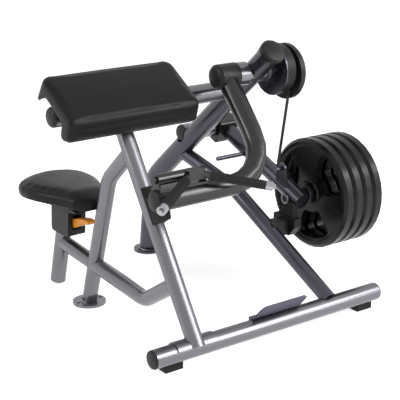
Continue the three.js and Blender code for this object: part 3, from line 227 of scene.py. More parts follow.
def silver_paint():
    """Silver metallic paint on the frame's tubes."""
    return metallic_paint("silver_metallic_paint", "#747479", 0.9, 0.27, 0.05)


def slate_paint():
    """Slate grey metallic paint on the mast, brace and lever."""
    return metallic_paint("slate_metallic_paint", "#4E4D56", 0.9, 0.27, 0.05)


def graphite_paint():
    """Dark grey metallic paint on the curling arm and its handle."""
    return metallic_paint("graphite_metallic_paint", "#3B3B3C", 0.9, 0.27, 0.05)


def plum_paint():
    """Purple grey powder coat on the tread plate and the drilled disc."""
    made, tree, shader, where = new_material("plum_powder_coat")
    clouds = noise(tree, where, 60, 3.0)
    link(tree, shader, Base_Color=mixed(tree, clouds, shade("#5A586A", 0.9), shade("#5E5C6E", 1.1)),
         Metallic=0.25, Roughness=spread(tree, clouds, 0.42, 0.54), Specular_IOR_Level=0.2)
    bump(tree, shader, noise(tree, where, 1.4, 2.0), 0.06, 0.6)
    return made


def moulded_plastic():
    """Black moulded plastic with a fine spark-eroded grain, on caps, hub and housings."""
    made, tree, shader, where = new_material("black_moulded_plastic")
    clouds = noise(tree, where, 45, 3.0)
    link(tree, shader, Base_Color=mixed(tree, clouds, shade("#1D1D1E", 0.85), shade("#222223", 1.1)),
         Roughness=spread(tree, clouds, 0.34, 0.46), Specular_IOR_Level=0.2)
    bump(tree, shader, noise(tree, where, 0.8, 2.0), 0.04, 0.6)
    return made


def black_paint():
    """Black powder coat on the cam and the seat's base plate."""
    made, tree, shader, where = new_material("black_powder_coat")
    clouds = noise(tree, where, 30, 2.0)
    link(tree, shader, Base_Color=mixed(tree, clouds, shade("#1E1E20", 0.85), shade("#242426", 1.15)),
         Metallic=0.2, Roughness=spread(tree, clouds, 0.4, 0.5), Specular_IOR_Level=0.2)
    bump(tree, shader, noise(tree, where, 1.1, 2.0), 0.05, 0.6)
    return made


def plate_rubber():
    """Cast black rubber with a slight bloom, on the weight plates."""
    made, tree, shader, where = new_material("cast_rubber_plates")
    bloom = noise(tree, where, 70, 4.0, 0.6)
    colour = mixed(tree, spread(tree, bloom, 0, 1), shade("#0B0B0C", 0.9), shade("#101011", 1.1))
    link(tree, shader, Base_Color=colour,
         Roughness=spread(tree, bloom, 0.26, 0.34), Specular_IOR_Level=0.25)
    bump(tree, shader, noise(tree, where, 1.6, 3.0), 0.07, 0.6)
    return made


def block_rubber():
    """Matte moulded rubber on the floor blocks, the stop and the bumper."""
    made, tree, shader, where = new_material("matte_block_rubber")
    dust = noise(tree, where, 25, 4.0, 0.65)
    colour = mixed(tree, spread(tree, dust, 0, 1, 0.45, 0.8), linear("#1E1E1F"), linear("#2B2B2A"))
    link(tree, shader, Base_Color=colour,
         Roughness=spread(tree, dust, 0.6, 0.8), Specular_IOR_Level=0.2)
    bump(tree, shader, noise(tree, where, 1.2, 3.0), 0.09, 0.7)
    return made


def grip_rubber():
    """Soft ribbed rubber on the handle's grips, a little polished by hands."""
    made, tree, shader, where = new_material("ribbed_grip_rubber")
    hands = noise(tree, where, 35, 2.0)
    link(tree, shader, Base_Color=mixed(tree, hands, linear("#232324"), linear("#2D2D2E")),
         Roughness=spread(tree, hands, 0.45, 0.65), Specular_IOR_Level=0.2)
    bump(tree, shader, noise(tree, where, 1.0, 2.0), 0.08, 0.7)
    return made


def belt_webbing():
    """Flat drive belt: rubber over cords that run along it."""
    made, tree, shader, where = new_material("reinforced_belt_rubber")
    ribs = add_node(tree, "ShaderNodeTexWave", {"Vector": where, "Scale": 700.0, "Distortion": 0.0},
                    bands_direction="X").outputs["Fac"]
    link(tree, shader, Base_Color=mixed(tree, ribs, linear("#1C1C1D"), linear("#2E2E30")), Roughness=0.6,
         Specular_IOR_Level=0.2)
    bump(tree, shader, ribs, 0.2, 0.6)
    return made


def cover_vinyl():
    """Black upholstery vinyl with a fine leather grain, over foam."""
    made, tree, shader, where = new_material("grained_black_vinyl")
    cells = add_node(tree, "ShaderNodeTexVoronoi", {"Vector": where, "Scale": 1000 / 1.8, "Randomness": 0.9},
                     feature="SMOOTH_F1").outputs["Distance"]
    wear = noise(tree, where, 130, 3.0)
    colour = mixed(tree, spread(tree, wear, 0, 1), shade("#141414", 0.93), shade("#181818", 1.08))
    link(tree, shader, Base_Color=colour,
         Roughness=spread(tree, wear, 0.34, 0.42), Specular_IOR_Level=0.14, Sheen_Weight=0.02)
    folds = bump(tree, shader, noise(tree, where, 22, 2.0), 0.35, 0.3)
    bump(tree, shader, cells, 0.12, 0.55, folds)
    return made


def welt_vinyl():
    """Folded vinyl strip sewn into the seams, a little shinier where it is pulled tight."""
    made, tree, shader, where = new_material("folded_vinyl_welt")
    wear = noise(tree, where, 20, 2.0)
    link(tree, shader, Base_Color=mixed(tree, wear, linear("#1C1C1C"), linear("#262626")),
         Roughness=spread(tree, wear, 0.32, 0.42), Specular_IOR_Level=0.2)
    bump(tree, shader, noise(tree, where, 1.5, 2.0), 0.08, 0.5)
    return made


def sewing_thread():
    """Twisted black polyester thread."""
    made, tree, shader, where = new_material("twisted_black_thread")
    twist = noise(tree, where, 0.5, 1.0)
    link(tree, shader, Base_Color=mixed(tree, twist, linear("#171718"), linear("#28282A")), Roughness=0.7)
    bump(tree, shader, twist, 0.1, 0.6)
    return made


def chrome_plate():
    """Bright plated steel with faint polishing lines, on the post, bolt and grip caps."""
    made, tree, shader, where = new_material("bright_plated_steel")
    lines = noise(tree, stretched(tree, where, 1, 14), 20, 3.0)
    link(tree, shader, Base_Color=mixed(tree, lines, shade("#98999D", 0.94), shade("#A8A9AD", 1.04)),
         Metallic=0.95, Roughness=spread(tree, lines, 0.14, 0.22))
    bump(tree, shader, lines, 0.01, 0.3)
    return made


def turned_steel():
    """Plain turned steel with fine tool marks and an oil film, on shafts and bearings."""
    made, tree, shader, where = new_material("turned_plain_steel")
    lines = noise(tree, stretched(tree, where, 4, 4), 1.2, 2.0)
    film = noise(tree, where, 18, 3.0)
    link(tree, shader, Base_Color=mixed(tree, film, shade("#85878B", 0.85), shade("#96989C", 1.1)),
         Metallic=1.0, Roughness=spread(tree, film, 0.26, 0.4))
    bump(tree, shader, lines, 0.02, 0.4)
    return made


def dark_steel():
    """Blackened steel on the weight peg, rubbed bright in places by the plates."""
    made, tree, shader, where = new_material("blackened_peg_steel")
    rubbed = spread(tree, noise(tree, stretched(tree, where, 4, 12), 60, 4.0, 0.6), 0, 1, 0.5, 0.75)
    link(tree, shader, Base_Color=mixed(tree, rubbed, linear("#343437"), linear("#6A6B70")),
         Metallic=0.85, Roughness=spread(tree, rubbed, 0.42, 0.28))
    bump(tree, shader, noise(tree, where, 2.0, 2.0), 0.03, 0.5)
    return made


def lever_plastic():
    """Orange moulded plastic of the seat's lever."""
    made, tree, shader, where = new_material("orange_moulded_plastic")
    clouds = noise(tree, where, 14, 2.0)
    link(tree, shader, Base_Color=mixed(tree, clouds, linear("#D9801A"), linear("#EA9526")),
         Roughness=spread(tree, clouds, 0.32, 0.44), Subsurface_Weight=0.0)
    bump(tree, shader, noise(tree, where, 0.9, 1.0), 0.04, 0.5)
    return made


def board_wood():
    """Birch plywood of the arm pad's board."""
    made, tree, shader, where = new_material("birch_plywood")
    grain = noise(tree, stretched(tree, where, 10, 1), 90, 5.0, 0.6)
    colour = mixed(tree, spread(tree, grain, 0, 1), linear("#8F6E45"), linear("#B8986A"))
    link(tree, shader, Base_Color=colour,
         Roughness=spread(tree, grain, 0.6, 0.75))
    bump(tree, shader, grain, 0.15, 0.5)
    return made


def weld_metal():
    """Weld bead under silver paint."""
    made, tree, shader, where = new_material("painted_weld_bead")
    ripple = noise(tree, where, 3.0, 1.0)
    link(tree, shader, Base_Color=mixed(tree, ripple, linear("#8C8C93"), linear("#A4A4AB")),
         Metallic=0.8, Roughness=spread(tree, ripple, 0.3, 0.42))
    bump(tree, shader, ripple, 0.2, 0.6)
    return made


MATERIAL_OF = {
    silver_paint: (
        "base_tube", "saddle_plate", "front_upright", "rear_leg", "rear_leg_foot", "front_rail",
        "seat_rail", "seat_sleeve", "crossbar", "bearing_housing", "lever_pivot_tube"),
    slate_paint: (
        "mast", "mast_foot", "brace", "pad_yoke", "lever_tube", "belt_lug", "belt_bolt", "cam_disc",
        "stop_rod"),
    plum_paint: ("footrest_plate",),
    graphite_paint: ("arm_tube", "handle_bracket", "handle_bar", "lever_hub"),
    moulded_plastic: (
        "base_cap_left", "base_cap_right", "crossbar_cap", "mast_cap", "lever_pivot_cap",
        "seat_lock_housing", "arm_hub", "cam_cover"),
    black_paint: ("cam", "seat_base", "bumper_bracket"),
    plate_rubber: ("weight_plate_1", "weight_plate_2", "weight_plate_3", "weight_plate_4"),
    block_rubber: ("base_foot_left", "base_foot_right", "arm_stop", "bumper_block"),
    grip_rubber: ("grip_left", "grip_right"),
    belt_webbing: ("belt",),
    cover_vinyl: ("arm_pad", "seat_pad"),
    chrome_plate: ("seat_post", "grip_cap_left", "grip_cap_right"),
    turned_steel: ("shaft_bearing_left", "shaft_bearing_right", "lever_shaft", "arm_shaft"),
    dark_steel: ("weight_peg", "handle_pin"),
    lever_plastic: ("seat_lock_lever",),
    board_wood: ("arm_pad_board",),
}

MADE_MATERIALS = {}


def material(maker):
    """The material that this function makes, made once."""
    if maker not in MADE_MATERIALS:
        MADE_MATERIALS[maker] = maker()
    return MADE_MATERIALS[maker]


# ---------------------------------------------------------------- mesh helpers

def new_piece(name, mesh, maker, body, smooth_degrees=35):
    """Links a mesh as a piece with its material and body."""
    piece = bpy.data.objects.new(name, mesh)
    bpy.context.scene.collection.objects.link(piece)
    mesh.materials.clear()
    mesh.materials.append(material(maker))
    for face in mesh.polygons:
        face.use_smooth = True
    if smooth_degrees:
        mesh.set_sharp_from_angle(angle=math.radians(smooth_degrees))
    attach(piece, body)
    return piece


def lathe(builder, profile, origin, axis, sides=40):
    """Adds a closed turned ring or disc. profile lists (distance along axis, radius)."""
    turn = Vector((0, 0, 1)).rotation_difference(axis.normalized())
    rows = []
    for along, radius in profile:
        if radius == 0:
            rows.append([builder.verts.new(origin + turn @ Vector((0, 0, along)))])
            continue
        rows.append([
            builder.verts.new(origin + turn @ Vector((
                radius * math.cos(2 * math.pi * i / sides),
                radius * math.sin(2 * math.pi * i / sides), along)))
            for i in range(sides)])
    closed = profile[0][1] > 0
    count = len(rows)
    for k in range(count if closed else count - 1):
        first, second = rows[k], rows[(k + 1) % count]
        for i in range(sides):
            j = (i + 1) % sides
            corners = [
                first[i % len(first)], first[j % len(first)],
                second[j % len(second)], second[i % len(second)]]
            unique = list(dict.fromkeys(corners))
            if len(unique) > 2:
                builder.faces.new(unique)


def tube(builder, points, radius, closed=False, sides=8):
    """Adds a round tube through the points."""
    count = len(points)
    rows = []
    side = None
    for i, spot in enumerate(points):
        after = points[(i + 1) % count] if closed or i < count - 1 else spot
        before = points[i - 1] if closed or i else spot
        direction = (after - before).normalized()
        if side is None:
            side = direction.orthogonal().normalized()
        side = (side - direction * side.dot(direction)).normalized()
        other = direction.cross(side)
        rows.append([
            builder.verts.new(spot + radius * (
                math.cos(2 * math.pi * k / sides) * side + math.sin(2 * math.pi * k / sides) * other))
            for k in range(sides)])
    for i in range(count if closed else count - 1):
        first, second = rows[i], rows[(i + 1) % count]
        offset = 0
        if closed and i == count - 1:
            offset = min(range(sides), key=lambda s: (second[s].co - first[0].co).length)
        for k in range(sides):
            builder.faces.new((
                first[k], first[(k + 1) % sides],
                second[(k + 1 + offset) % sides], second[(k + offset) % sides]))
    if not closed:
        builder.faces.new(list(reversed(rows[0])))
        builder.faces.new(rows[-1])


def hex_bolt(builder, origin, axis, width):
    """Adds a washer and a bolt's head with chamfered corners, standing on origin."""
    washer = [(0, 0), (0, width * 0.72), (width * 0.1, width * 0.72), (width * 0.12, 0)]
    lathe(builder, washer, origin, axis, 24)
    turn = Vector((0, 0, 1)).rotation_difference(axis.normalized())
    rows = []
    for height, reach in ((0.12, 0.577), (0.52, 0.577), (0.6, 0.5)):
        rows.append([
            builder.verts.new(origin + turn @ Vector((
                width * reach * math.cos(math.pi * k / 3), width * reach * math.sin(math.pi * k / 3),
                width * height)))
            for k in range(6)])
    for first, second in zip(rows, rows[1:]):
        for k in range(6):
            builder.faces.new((first[k], first[(k + 1) % 6], second[(k + 1) % 6], second[k]))
    builder.faces.new(list(reversed(rows[0])))
    builder.faces.new(rows[-1])


def finished(builder, name):
    """The builder's mesh, with its faces turned outward."""
    bmesh.ops.recalc_face_normals(builder, faces=builder.faces)
    mesh = bpy.data.meshes.new(name)
    builder.to_mesh(mesh)
    builder.free()
    return mesh


def surface_of(piece):
    """A search tree of the piece's shape, with its modifiers."""
    return BVHTree.FromObject(piece, bpy.context.evaluated_depsgraph_get())


# ---------------------------------------------------------------- cushions

def pad_point(x, down, height):
    """A point over the arm pad's slope: along X, down the slope and square to it, in metres."""
    offset = Vector((
        0,
        -down * math.cos(PAD_SLOPE) - height * math.sin(PAD_SLOPE),
        -down * math.sin(PAD_SLOPE) + height * math.cos(PAD_SLOPE)))
    return PAD_TOP_BACK + offset + Vector((x, 0, 0)) + SHIFT


def coordinates(mesh):
    values = np.zeros(len(mesh.vertices) * 3)
    mesh.vertices.foreach_get("co", values)
    return values.reshape(-1, 3)


def remeshed(node, voxel):
    """The node's shape as an even mesh with its steps smoothed out."""
    source = bpy.data.objects.new("source", NODES[node].data.copy())
    bpy.context.scene.collection.objects.link(source)
    weld = source.modifiers.new("weld", "WELD")
    weld.merge_threshold = 1e-5
    step = source.modifiers.new("even", "REMESH")
    step.mode = "VOXEL"
    step.voxel_size = voxel
    graph = bpy.context.evaluated_depsgraph_get()
    mesh = bpy.data.meshes.new_from_object(source.evaluated_get(graph))
    bpy.data.objects.remove(source)
    builder = bmesh.new()
    builder.from_mesh(mesh)
    for _ in range(3):
        bmesh.ops.smooth_vert(
            builder, verts=builder.verts, factor=0.5, use_axis_x=True, use_axis_y=True, use_axis_z=True)
    builder.to_mesh(mesh)
    builder.free()
    return mesh


LAST_FRAME = 20
COVER_SMOOTHING = 6


def inflate(mesh, swell, pressure, freedom):
    """Presses the cover outward as cloth over foam. freedom gives how far each point may go, from 0 to 1."""
    start = coordinates(mesh)
    piece = bpy.data.objects.new("cover", mesh)
    bpy.context.scene.collection.objects.link(piece)
    cloth = piece.modifiers.new("cover", "CLOTH")
    settings = cloth.settings
    settings.quality = 5
    settings.mass = 0.3
    settings.tension_stiffness = 20
    settings.compression_stiffness = 20
    settings.shear_stiffness = 10
    settings.bending_stiffness = 0.6
    settings.use_pressure = True
    settings.uniform_pressure_force = pressure
    settings.effector_weights.gravity = 0
    scene = bpy.context.scene
    for step in range(1, LAST_FRAME + 1):
        scene.frame_set(step)
    graph = bpy.context.evaluated_depsgraph_get()
    moved = coordinates(piece.evaluated_get(graph).data)
    scene.frame_set(1)
    bpy.data.objects.remove(piece)
    normals = np.zeros(len(mesh.vertices) * 3)
    mesh.vertices.foreach_get("normal", normals)
    normals = normals.reshape(-1, 3)
    share = freedom(start)[:, None]
    rise = np.clip(((moved - start) * normals).sum(axis=1), 0, swell)[:, None] * share
    pressed = start + normals * rise
    mesh.vertices.foreach_set("co", pressed.ravel())
    mesh.update()
    builder = bmesh.new()
    builder.from_mesh(mesh)
    for _ in range(COVER_SMOOTHING):
        bmesh.ops.smooth_vert(
            builder, verts=builder.verts, factor=0.5, use_axis_x=True, use_axis_y=True, use_axis_z=True)
    builder.to_mesh(mesh)
    builder.free()
    # Only the padded surface is smoothed, so the thin lips under it keep their thickness.
    mesh.vertices.foreach_set("co", (pressed + (coordinates(mesh) - pressed) * share).ravel())
    mesh.update()


def cushion(name, mesh, node):
    """Makes the finished cushion of the mesh and puts it in its node's place."""
    body = "frame" if node == "arm_pad" else "seat"
    piece = new_piece(name, mesh, cover_vinyl, body, smooth_degrees=None)
    smoother = piece.modifiers.new("smoother", "SUBSURF")
    smoother.levels = 1
    smoother.render_levels = 1
    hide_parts(node)
    return piece


def on_surface(search, guide, lift):
    """The guide's points moved onto the surface, lifted by lift."""
    found = []
    for spot in guide:
        hit, normal, _, _ = search.find_nearest(spot)
        found.append(hit + normal * lift)
    return found


def resampled(points, pitch, closed):
    """Points at an even pitch along the line through the points."""
    line = list(points) + ([points[0]] if closed else [])
    made = []
    left = 0.0
    for first, second in zip(line, line[1:]):
        length = (second - first).length
        while left < length:
            made.append(first.lerp(second, left / length))
            left += pitch
        left -= length
    return made


# A stitch fills this share of its pitch. One that bends to a length outside the two is left out.
STITCH = {"pitch": 0.0065, "share": 0.62, "from_seam": 0.008, "lift": 0.0002, "radius": 0.0005,
          "lengths": (0.002, 0.006)}


def seam(name, search, guide, radius, body, closed):
    """A sewn welt along the guide, with a row of stitches beside it."""
    line = on_surface(search, resampled(guide, 0.008, closed), radius * 0.35)
    builder = bmesh.new()
    tube(builder, line, radius, closed)
    new_piece(name, finished(builder, name), welt_vinyl, body)
    centre = sum(line, Vector()) / len(line)
    builder = bmesh.new()
    spots = resampled(line, STITCH["pitch"], closed)
    shortest, longest = STITCH["lengths"]
    for first, second in zip(spots[:-1], spots[1:]):
        inward = (centre - first).normalized() * STITCH["from_seam"]
        run = second - first
        ends = on_surface(
            search, [first + inward, first + inward + run * STITCH["share"]], STITCH["lift"])
        if shortest < (ends[1] - ends[0]).length < longest:
            tube(builder, ends, STITCH["radius"], sides=6)
    new_piece(name + "_stitches", finished(builder, name), sewing_thread, body)


class CURL_OT_arm_cushion(bpy.types.Operator):
    """Makes the sloping arm pad of foam under vinyl"""
    bl_idname = "curl.arm_cushion"
    bl_label = "Arm cushion"

    def execute(self, context):
        settings = context.scene.curl_cushions
        mesh = remeshed("arm_pad", settings.voxel)

        def freedom(points):
            down = (PAD_TOP_BACK.y + SHIFT.y - points[:, 1]) * math.cos(PAD_SLOPE)
            down += (PAD_TOP_BACK.z - points[:, 2]) * math.sin(PAD_SLOPE)
            height = (points[:, 2] - PAD_TOP_BACK.z) * math.cos(PAD_SLOPE)
            height -= (points[:, 1] - PAD_TOP_BACK.y - SHIFT.y) * math.sin(PAD_SLOPE)
            above = np.clip((height + 0.09) / 0.05, 0, 1)
            # The recess under the pad stays as it is, and the cover is free from the lower edge up.
            inside = (height < -0.03) & (down > 0.0) & (down < 0.226)
            left, right = (end + SHIFT.x for end in PAD_ENDS)
            inside &= (points[:, 0] > left + PAD_WALL) & (points[:, 0] < right - PAD_WALL)
            return np.where(inside, 0, above)

        inflate(mesh, settings.pad_swell, settings.pressure, freedom)
        piece = cushion("arm_cushion", mesh, "arm_pad")
        search = surface_of(piece)
        left, right = PAD_ENDS
        long_front = [pad_point(x, PAD_WIDTH + 0.005, -0.090) for x in (right - 0.004, left + 0.004)]
        seam("arm_cushion_front_seam", search, long_front, settings.welt, "frame", closed=False)
        return {"FINISHED"}


class CURL_OT_seat_cushion(bpy.types.Operator):
    """Makes the pear-shaped seat of foam under vinyl"""
    bl_idname = "curl.seat_cushion"
    bl_label = "Seat cushion"

    def execute(self, context):
        settings = context.scene.curl_cushions
        low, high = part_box("seat_pad")
        mesh = remeshed("seat_pad", settings.voxel)
        inflate(
            mesh, settings.seat_swell, settings.pressure,
            lambda points: np.clip((points[:, 2] - low[2] - 0.006) / 0.03, 0, 1))
        piece = cushion("seat_cushion", mesh, "seat_pad")
        search = surface_of(piece)
        centre = Vector(((low[0] + high[0]) / 2, (low[1] + high[1]) / 2, low[2] + 0.016))
        guide = []
        for k in range(72):
            angle = 2 * math.pi * k / 72
            outward = Vector((math.cos(angle), math.sin(angle), 0))
            hit = search.ray_cast(centre + outward * 0.6, -outward)[0]
            if hit:
                guide.append(hit)
        seam("seat_cushion_seam", search, guide, settings.welt, "seat", closed=True)
        return {"FINISHED"}


# ---------------------------------------------------------------- hardware

class CURL_OT_finishes(bpy.types.Operator):
    """Gives every part of the frame its material and soft shading"""
    bl_idname = "curl.finishes"
    bl_label = "Finishes"

    def execute(self, context):
        for maker, names in MATERIAL_OF.items():
            for name in names:
                node = NODES[name]
                for slot in node.material_slots:
                    slot.material = material(maker)
                weld = node.modifiers.new("weld", "WELD")
                weld.merge_threshold = 1e-5
                edges = node.modifiers.new("edges", "EDGE_SPLIT")
                edges.split_angle = math.radians(32)
                for face in node.data.polygons:
                    face.use_smooth = True
        return {"FINISHED"}


class CURL_OT_plate_hubs(bpy.types.Operator):
    """Adds the raised hub and steel bush of each weight plate"""
    bl_idname = "curl.plate_hubs"
    bl_label = "Plate hubs"

    def execute(self, context):
        axis = Vector((1, 0, 0))
        for number, left in enumerate(PLATE_LEFTS, 1):
            builder = bmesh.new()
            for face, out in ((left, -1), (left + PLATE_THICKNESS, 1)):
                centre = place(face, *PEG)
                depth = [(0.0095, 0.034), (0.0095, 0.056), (0.003, 0.053), (0.001, 0.050), (0.001, 0.034)]
                lathe(builder, [(-out * step, radius) for step, radius in depth], centre, axis)
            new_piece(f"plate_hub_{number}", finished(builder, "plate_hub"), plate_rubber,
                      f"plate_{number}")
            builder = bmesh.new()
            bush = [(0.0002, 0.0256), (0.0002, 0.0335), (PLATE_THICKNESS - 0.0002, 0.0335),
                    (PLATE_THICKNESS - 0.0002, 0.0256)]
            lathe(builder, bush, place(left, *PEG), axis)
            new_piece(f"plate_bush_{number}", finished(builder, "plate_bush"), turned_steel,
                      f"plate_{number}")
        return {"FINISHED"}


class CURL_OT_grip_ribs(bpy.types.Operator):
    """Adds the ribs round the two grips"""
    bl_idname = "curl.grip_ribs"
    bl_label = "Grip ribs"

    def execute(self, context):
        pitch = context.scene.curl_hardware.rib_pitch
        for side in ("left", "right"):
            points = [Vector(vertex.co) for vertex in NODES[f"grip_{side}"].data.vertices]
            cap = [Vector(vertex.co) for vertex in NODES[f"grip_cap_{side}"].data.vertices]
            far = sum(cap, Vector()) / len(cap)
            middle = sum(points, Vector()) / len(points)
            axis = (far - middle).normalized()
            along = [(spot - middle).dot(axis) for spot in points]
            centre_line = [spot - axis * (spot - middle).dot(axis) for spot in points]
            middle = sum(centre_line, Vector()) / len(centre_line)
            radius = max((spot - middle).length for spot in centre_line)
            builder = bmesh.new()
            start, end = min(along) + 0.006, max(along) - 0.006
            for k in range(int((end - start) / pitch) + 1):
                ring = [(-0.0016, radius - 0.001), (-0.0008, radius + 0.0009), (0.0008, radius + 0.0009),
                        (0.0016, radius - 0.001)]
                lathe(builder, ring, middle + axis * (start + k * pitch), axis, 24)
            mesh = finished(builder, "grip_ribs")
            new_piece(f"grip_ribs_{side}", mesh, grip_rubber, "handle")
        return {"FINISHED"}


TREAD_ROWS = 5
TREAD_COLUMNS = 15
# Half the length, width and height of a raised lozenge.
LOZENGE = (0.0055, 0.0018, 0.0011)


class CURL_OT_tread(bpy.types.Operator):
    """Adds the raised lozenges of the tread plate"""
    bl_idname = "curl.tread"
    bl_label = "Tread"

    def execute(self, context):
        search = surface_of(NODES["footrest_plate"])
        low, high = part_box("footrest_plate")
        builder = bmesh.new()
        rows, columns = TREAD_ROWS, TREAD_COLUMNS
        for row in range(rows):
            for column in range(columns):
                x = low[0] + (column + 0.7) / (columns + 0.4) * (high[0] - low[0])
                y = low[1] + (row + 0.8) / (rows + 0.6) * (high[1] - low[1])
                hit, normal, _, _ = search.ray_cast(Vector((x, y, high[2] + 0.1)), Vector((0, 0, -1)))
                if hit is None or normal.z < 0.3:
                    continue
                turn = Vector((0, 0, 1)).rotation_difference(normal)
                lean = Matrix.Rotation(math.radians(45 if (row + column) % 2 else -45), 4, "Z")
                size = Matrix.Diagonal((*LOZENGE, 1))
                made = bmesh.ops.create_icosphere(builder, subdivisions=1, radius=1.0)
                bmesh.ops.transform(
                    builder, matrix=Matrix.Translation(hit) @ turn.to_matrix().to_4x4() @ lean @ size,
                    verts=made["verts"])
        new_piece("tread_lozenges", finished(builder, "tread"), plum_paint, "frame")
        return {"FINISHED"}


def cap_end(side, size):
    """The middle of a grip cap's outer face, its direction and the bolt's size."""
    cap = [Vector(vertex.co) for vertex in NODES[f"grip_cap_{side}"].data.vertices]
    grip = [Vector(vertex.co) for vertex in NODES[f"grip_{side}"].data.vertices]
    middle = sum(cap, Vector()) / len(cap)
    axis = (middle - sum(grip, Vector()) / len(grip)).normalized()
    reach = max((spot - middle).dot(axis) for spot in cap)
    return middle + axis * (reach + 0.0002), axis, size


class CURL_OT_end_pieces(bpy.types.Operator):
    """Adds the plug in the curl arm's left end and the bush in the weight peg's end"""
    bl_idname = "curl.end_pieces"
    bl_label = "End pieces"

    def execute(self, context):
        builder = bmesh.new()
        plug = [(0.0003, 0), (0.0003, 0.0405), (0.010, 0.0405), (0.019, 0.036), (0.024, 0.024), (0.0255, 0)]
        lathe(builder, plug, place(*ARM_END), Vector((-1, 0, 0)))
        new_piece("arm_end_plug", finished(builder, "arm_end_plug"), moulded_plastic, "arm")
        builder = bmesh.new()
        bush = [(0.0003, 0.0135), (0.0003, 0.0205), (0.0024, 0.0205), (0.0030, 0.0185), (0.0030, 0.0135)]
        lathe(builder, bush, place(PEG_LEFT, *PEG), Vector((-1, 0, 0)))
        mesh = finished(builder, "peg_end_bush")
        new_piece("peg_end_bush", mesh, turned_steel, "weight_lever")
        return {"FINISHED"}


class CURL_OT_bolts(bpy.types.Operator):
    """Adds the bolts of the lever's shaft, the cam's cover and the grips"""
    bl_idname = "curl.bolts"
    bl_label = "Bolts"

    def execute(self, context):
        width = context.scene.curl_hardware.bolt_size
        groups = {
            "lever_bolts": ("frame", [(place(0.9522, 0.775, 0.606), (1, 0, 0), width * 1.3)]),
            "cover_bolts": ("arm", [(place(0.8962, *HINGE), (1, 0, 0), width * 1.2)]),
            "grip_bolts": ("handle", [cap_end("left", width), cap_end("right", width)]),
        }
        for name, (body, bolts) in groups.items():
            builder = bmesh.new()
            for spot, axis, size in bolts:
                hex_bolt(builder, Vector(spot), Vector(axis), size)
            new_piece(name, finished(builder, name), chrome_plate, body)
        return {"FINISHED"}


class CURL_OT_welds(bpy.types.Operator):
    """Adds the weld beads where the rear leg and the mast stand on their floor plates"""
    bl_idname = "curl.welds"
    bl_label = "Welds"

    def execute(self, context):
        bead = context.scene.curl_hardware.bead
        joints = (
            ("weld_rear_foot", place(0.177, 0.700, 0.0125), (0, -0.3, 1), 0.0315),
            ("weld_mast_foot", place(0.712, 1.0745, 0.0125), (0, -0.13, 1), 0.0425),
        )
        for name, centre, axis, radius in joints:
            builder = bmesh.new()
            turn = Vector((0, 0, 1)).rotation_difference(Vector(axis).normalized())
            ring = []
            for k in range(96):
                angle = 2 * math.pi * k / 96
                reach = radius + 0.0006 * math.cos(24 * angle)
                ring.append(centre + turn @ Vector((reach * math.cos(angle), reach * math.sin(angle), 0)))
            tube(builder, ring, bead, closed=True)
            new_piece(name, finished(builder, name), weld_metal, "frame")
        return {"FINISHED"}


# ---------------------------------------------------------------- stage

CAMERA_SPOT = Vector((-1.98469, -2.97383, 1.77873)) + SHIFT
CAMERA_AZIMUTH = math.radians(-36.4)
CAMERA_DROP = math.radians(17.65)
CAMERA_LENS = 103.05
# What the floor adds for the rays that see the background. It lights nothing.
FLOOR_GLOW = 0.55


# Each light's name, place, the height that it is aimed at and its width and height. The wide and the tall
# one in front give the long streaks on level and upright tubes, the third the streak on their left.
LIGHTS = (
    ("front", (3.0, -4.35, 3.3), 0.5, (8.0, 1.0)),
    ("tall", (3.0, -4.35, 3.0), 0.5, (1.0, 4.4)),
    ("side", (-4.8, 1.4, 2.6), 0.6, (0.8, 2.6)),
)


def area_light(name, spot, target, size, power, colour):
    """A soft rectangular light that faces the target."""
    data = bpy.data.lights.new(name, "AREA")
    data.shape = "RECTANGLE"
    data.size, data.size_y = size
    data.energy = power
    data.color = linear(colour)[:3]
    lamp = bpy.data.objects.new(name, data)
    lamp.location = spot
    lamp.rotation_euler = (Vector(target) - Vector(spot)).to_track_quat("-Z", "Y").to_euler()
    bpy.context.scene.collection.objects.link(lamp)
    return lamp


def background_rays(tree):
    """1 for the camera, glossy and transmission rays that see the pale background, and 0 for the rest."""
    path = add_node(tree, "ShaderNodeLightPath")
    seen = path.outputs["Is Camera Ray"]
    for ray in ("Is Glossy Ray", "Is Transmission Ray"):
        seen = add_node(
            tree, "ShaderNodeMath", {0: seen, 1: path.outputs[ray]}, operation="MAXIMUM").outputs["Value"]
    return seen


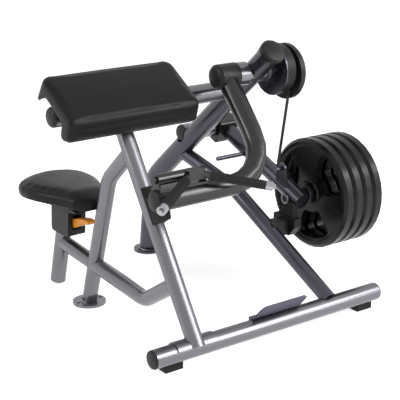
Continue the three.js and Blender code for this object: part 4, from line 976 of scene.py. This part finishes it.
class CURL_OT_stage(bpy.types.Operator):
    """Makes the floor, the surroundings, the lights and the camera"""
    bl_idname = "curl.stage"
    bl_label = "Stage"

    def execute(self, context):
        settings = context.scene.curl_stage
        scene = context.scene
        scene.view_settings.view_transform = "Standard"

        builder = bmesh.new()
        bmesh.ops.create_grid(builder, x_segments=1, y_segments=1, size=20)
        mesh = finished(builder, "floor")
        floor = bpy.data.objects.new("floor", mesh)
        scene.collection.objects.link(floor)
        made, tree, shader, where = new_material("pale_studio_floor")
        colour = mixed(tree, noise(tree, where, 900, 2.0), linear("#FDFDFD"), linear("#FFFFFF"))
        glow = add_node(
            tree, "ShaderNodeMath", {0: background_rays(tree), 1: FLOOR_GLOW}, operation="MULTIPLY")
        link(tree, shader, Base_Color=colour, Roughness=0.9, Specular_IOR_Level=0.0,
             Emission_Color=linear("#FFFFFF"), Emission_Strength=glow.outputs["Value"])
        mesh.materials.append(made)
        floor.location.z = -0.0005

        world = bpy.data.worlds.new("studio")
        world.use_nodes = True
        tree = world.node_tree
        tree.nodes.clear()
        level = settings.ambient
        colour = mixed(tree, background_rays(tree), (level, level, level, 1), (1, 1, 1, 1))
        background = add_node(tree, "ShaderNodeBackground", {"Color": colour, "Strength": 1.0})
        add_node(tree, "ShaderNodeOutputWorld", {"Surface": background.outputs["Background"]})
        scene.world = world

        for name, spot, height, size in LIGHTS:
            power = getattr(settings, name + "_power")
            area_light(name + "_light", spot, (0, 0, height), size, power, "#FFFFFF")

        data = bpy.data.cameras.new("camera")
        data.lens = CAMERA_LENS
        data.sensor_width = 36
        data.clip_end = 100
        camera = bpy.data.objects.new("camera", data)
        ahead = Vector((-math.sin(CAMERA_AZIMUTH), math.cos(CAMERA_AZIMUTH), 0))
        facing = ahead * math.cos(CAMERA_DROP) - Vector((0, 0, 1)) * math.sin(CAMERA_DROP)
        camera.location = CAMERA_SPOT
        camera.rotation_euler = facing.to_track_quat("-Z", "Y").to_euler()
        scene.collection.objects.link(camera)
        scene.camera = camera
        return {"FINISHED"}


class CURL_PT_panel(bpy.types.Panel):
    """Buttons for each group of pieces"""
    bl_idname = "CURL_PT_panel"
    bl_label = "Curl machine"
    bl_space_type = "VIEW_3D"
    bl_region_type = "UI"
    bl_category = "Curl machine"

    def draw(self, context):
        for group in (context.scene.curl_cushions, context.scene.curl_hardware, context.scene.curl_stage):
            for name in group.__annotations__:
                self.layout.prop(group, name)
        for operator in OPERATORS:
            self.layout.operator(operator.bl_idname)


GROUPS = {"curl_cushions": CURL_PG_cushions, "curl_hardware": CURL_PG_hardware, "curl_stage": CURL_PG_stage}
OPERATORS = (
    CURL_OT_finishes, CURL_OT_arm_cushion, CURL_OT_seat_cushion, CURL_OT_plate_hubs, CURL_OT_grip_ribs,
    CURL_OT_tread, CURL_OT_end_pieces, CURL_OT_bolts, CURL_OT_welds, CURL_OT_stage,
)


def register():
    for made in (*GROUPS.values(), *OPERATORS, CURL_PT_panel):
        bpy.utils.register_class(made)
    for name, group in GROUPS.items():
        setattr(bpy.types.Scene, name, bpy.props.PointerProperty(type=group))


def unregister():
    for name in GROUPS:
        delattr(bpy.types.Scene, name)
    for made in (CURL_PT_panel, *reversed(OPERATORS), *GROUPS.values()):
        bpy.utils.unregister_class(made)


def main():
    """Makes every piece by its operator, then the stage."""
    register()
    bpy.ops.curl.finishes()
    bpy.ops.curl.arm_cushion()
    bpy.ops.curl.seat_cushion()
    bpy.ops.curl.plate_hubs()
    bpy.ops.curl.grip_ribs()
    bpy.ops.curl.tread()
    bpy.ops.curl.end_pieces()
    bpy.ops.curl.bolts()
    bpy.ops.curl.welds()
    bpy.ops.curl.stage()


if __name__ == "__main__":
    main()
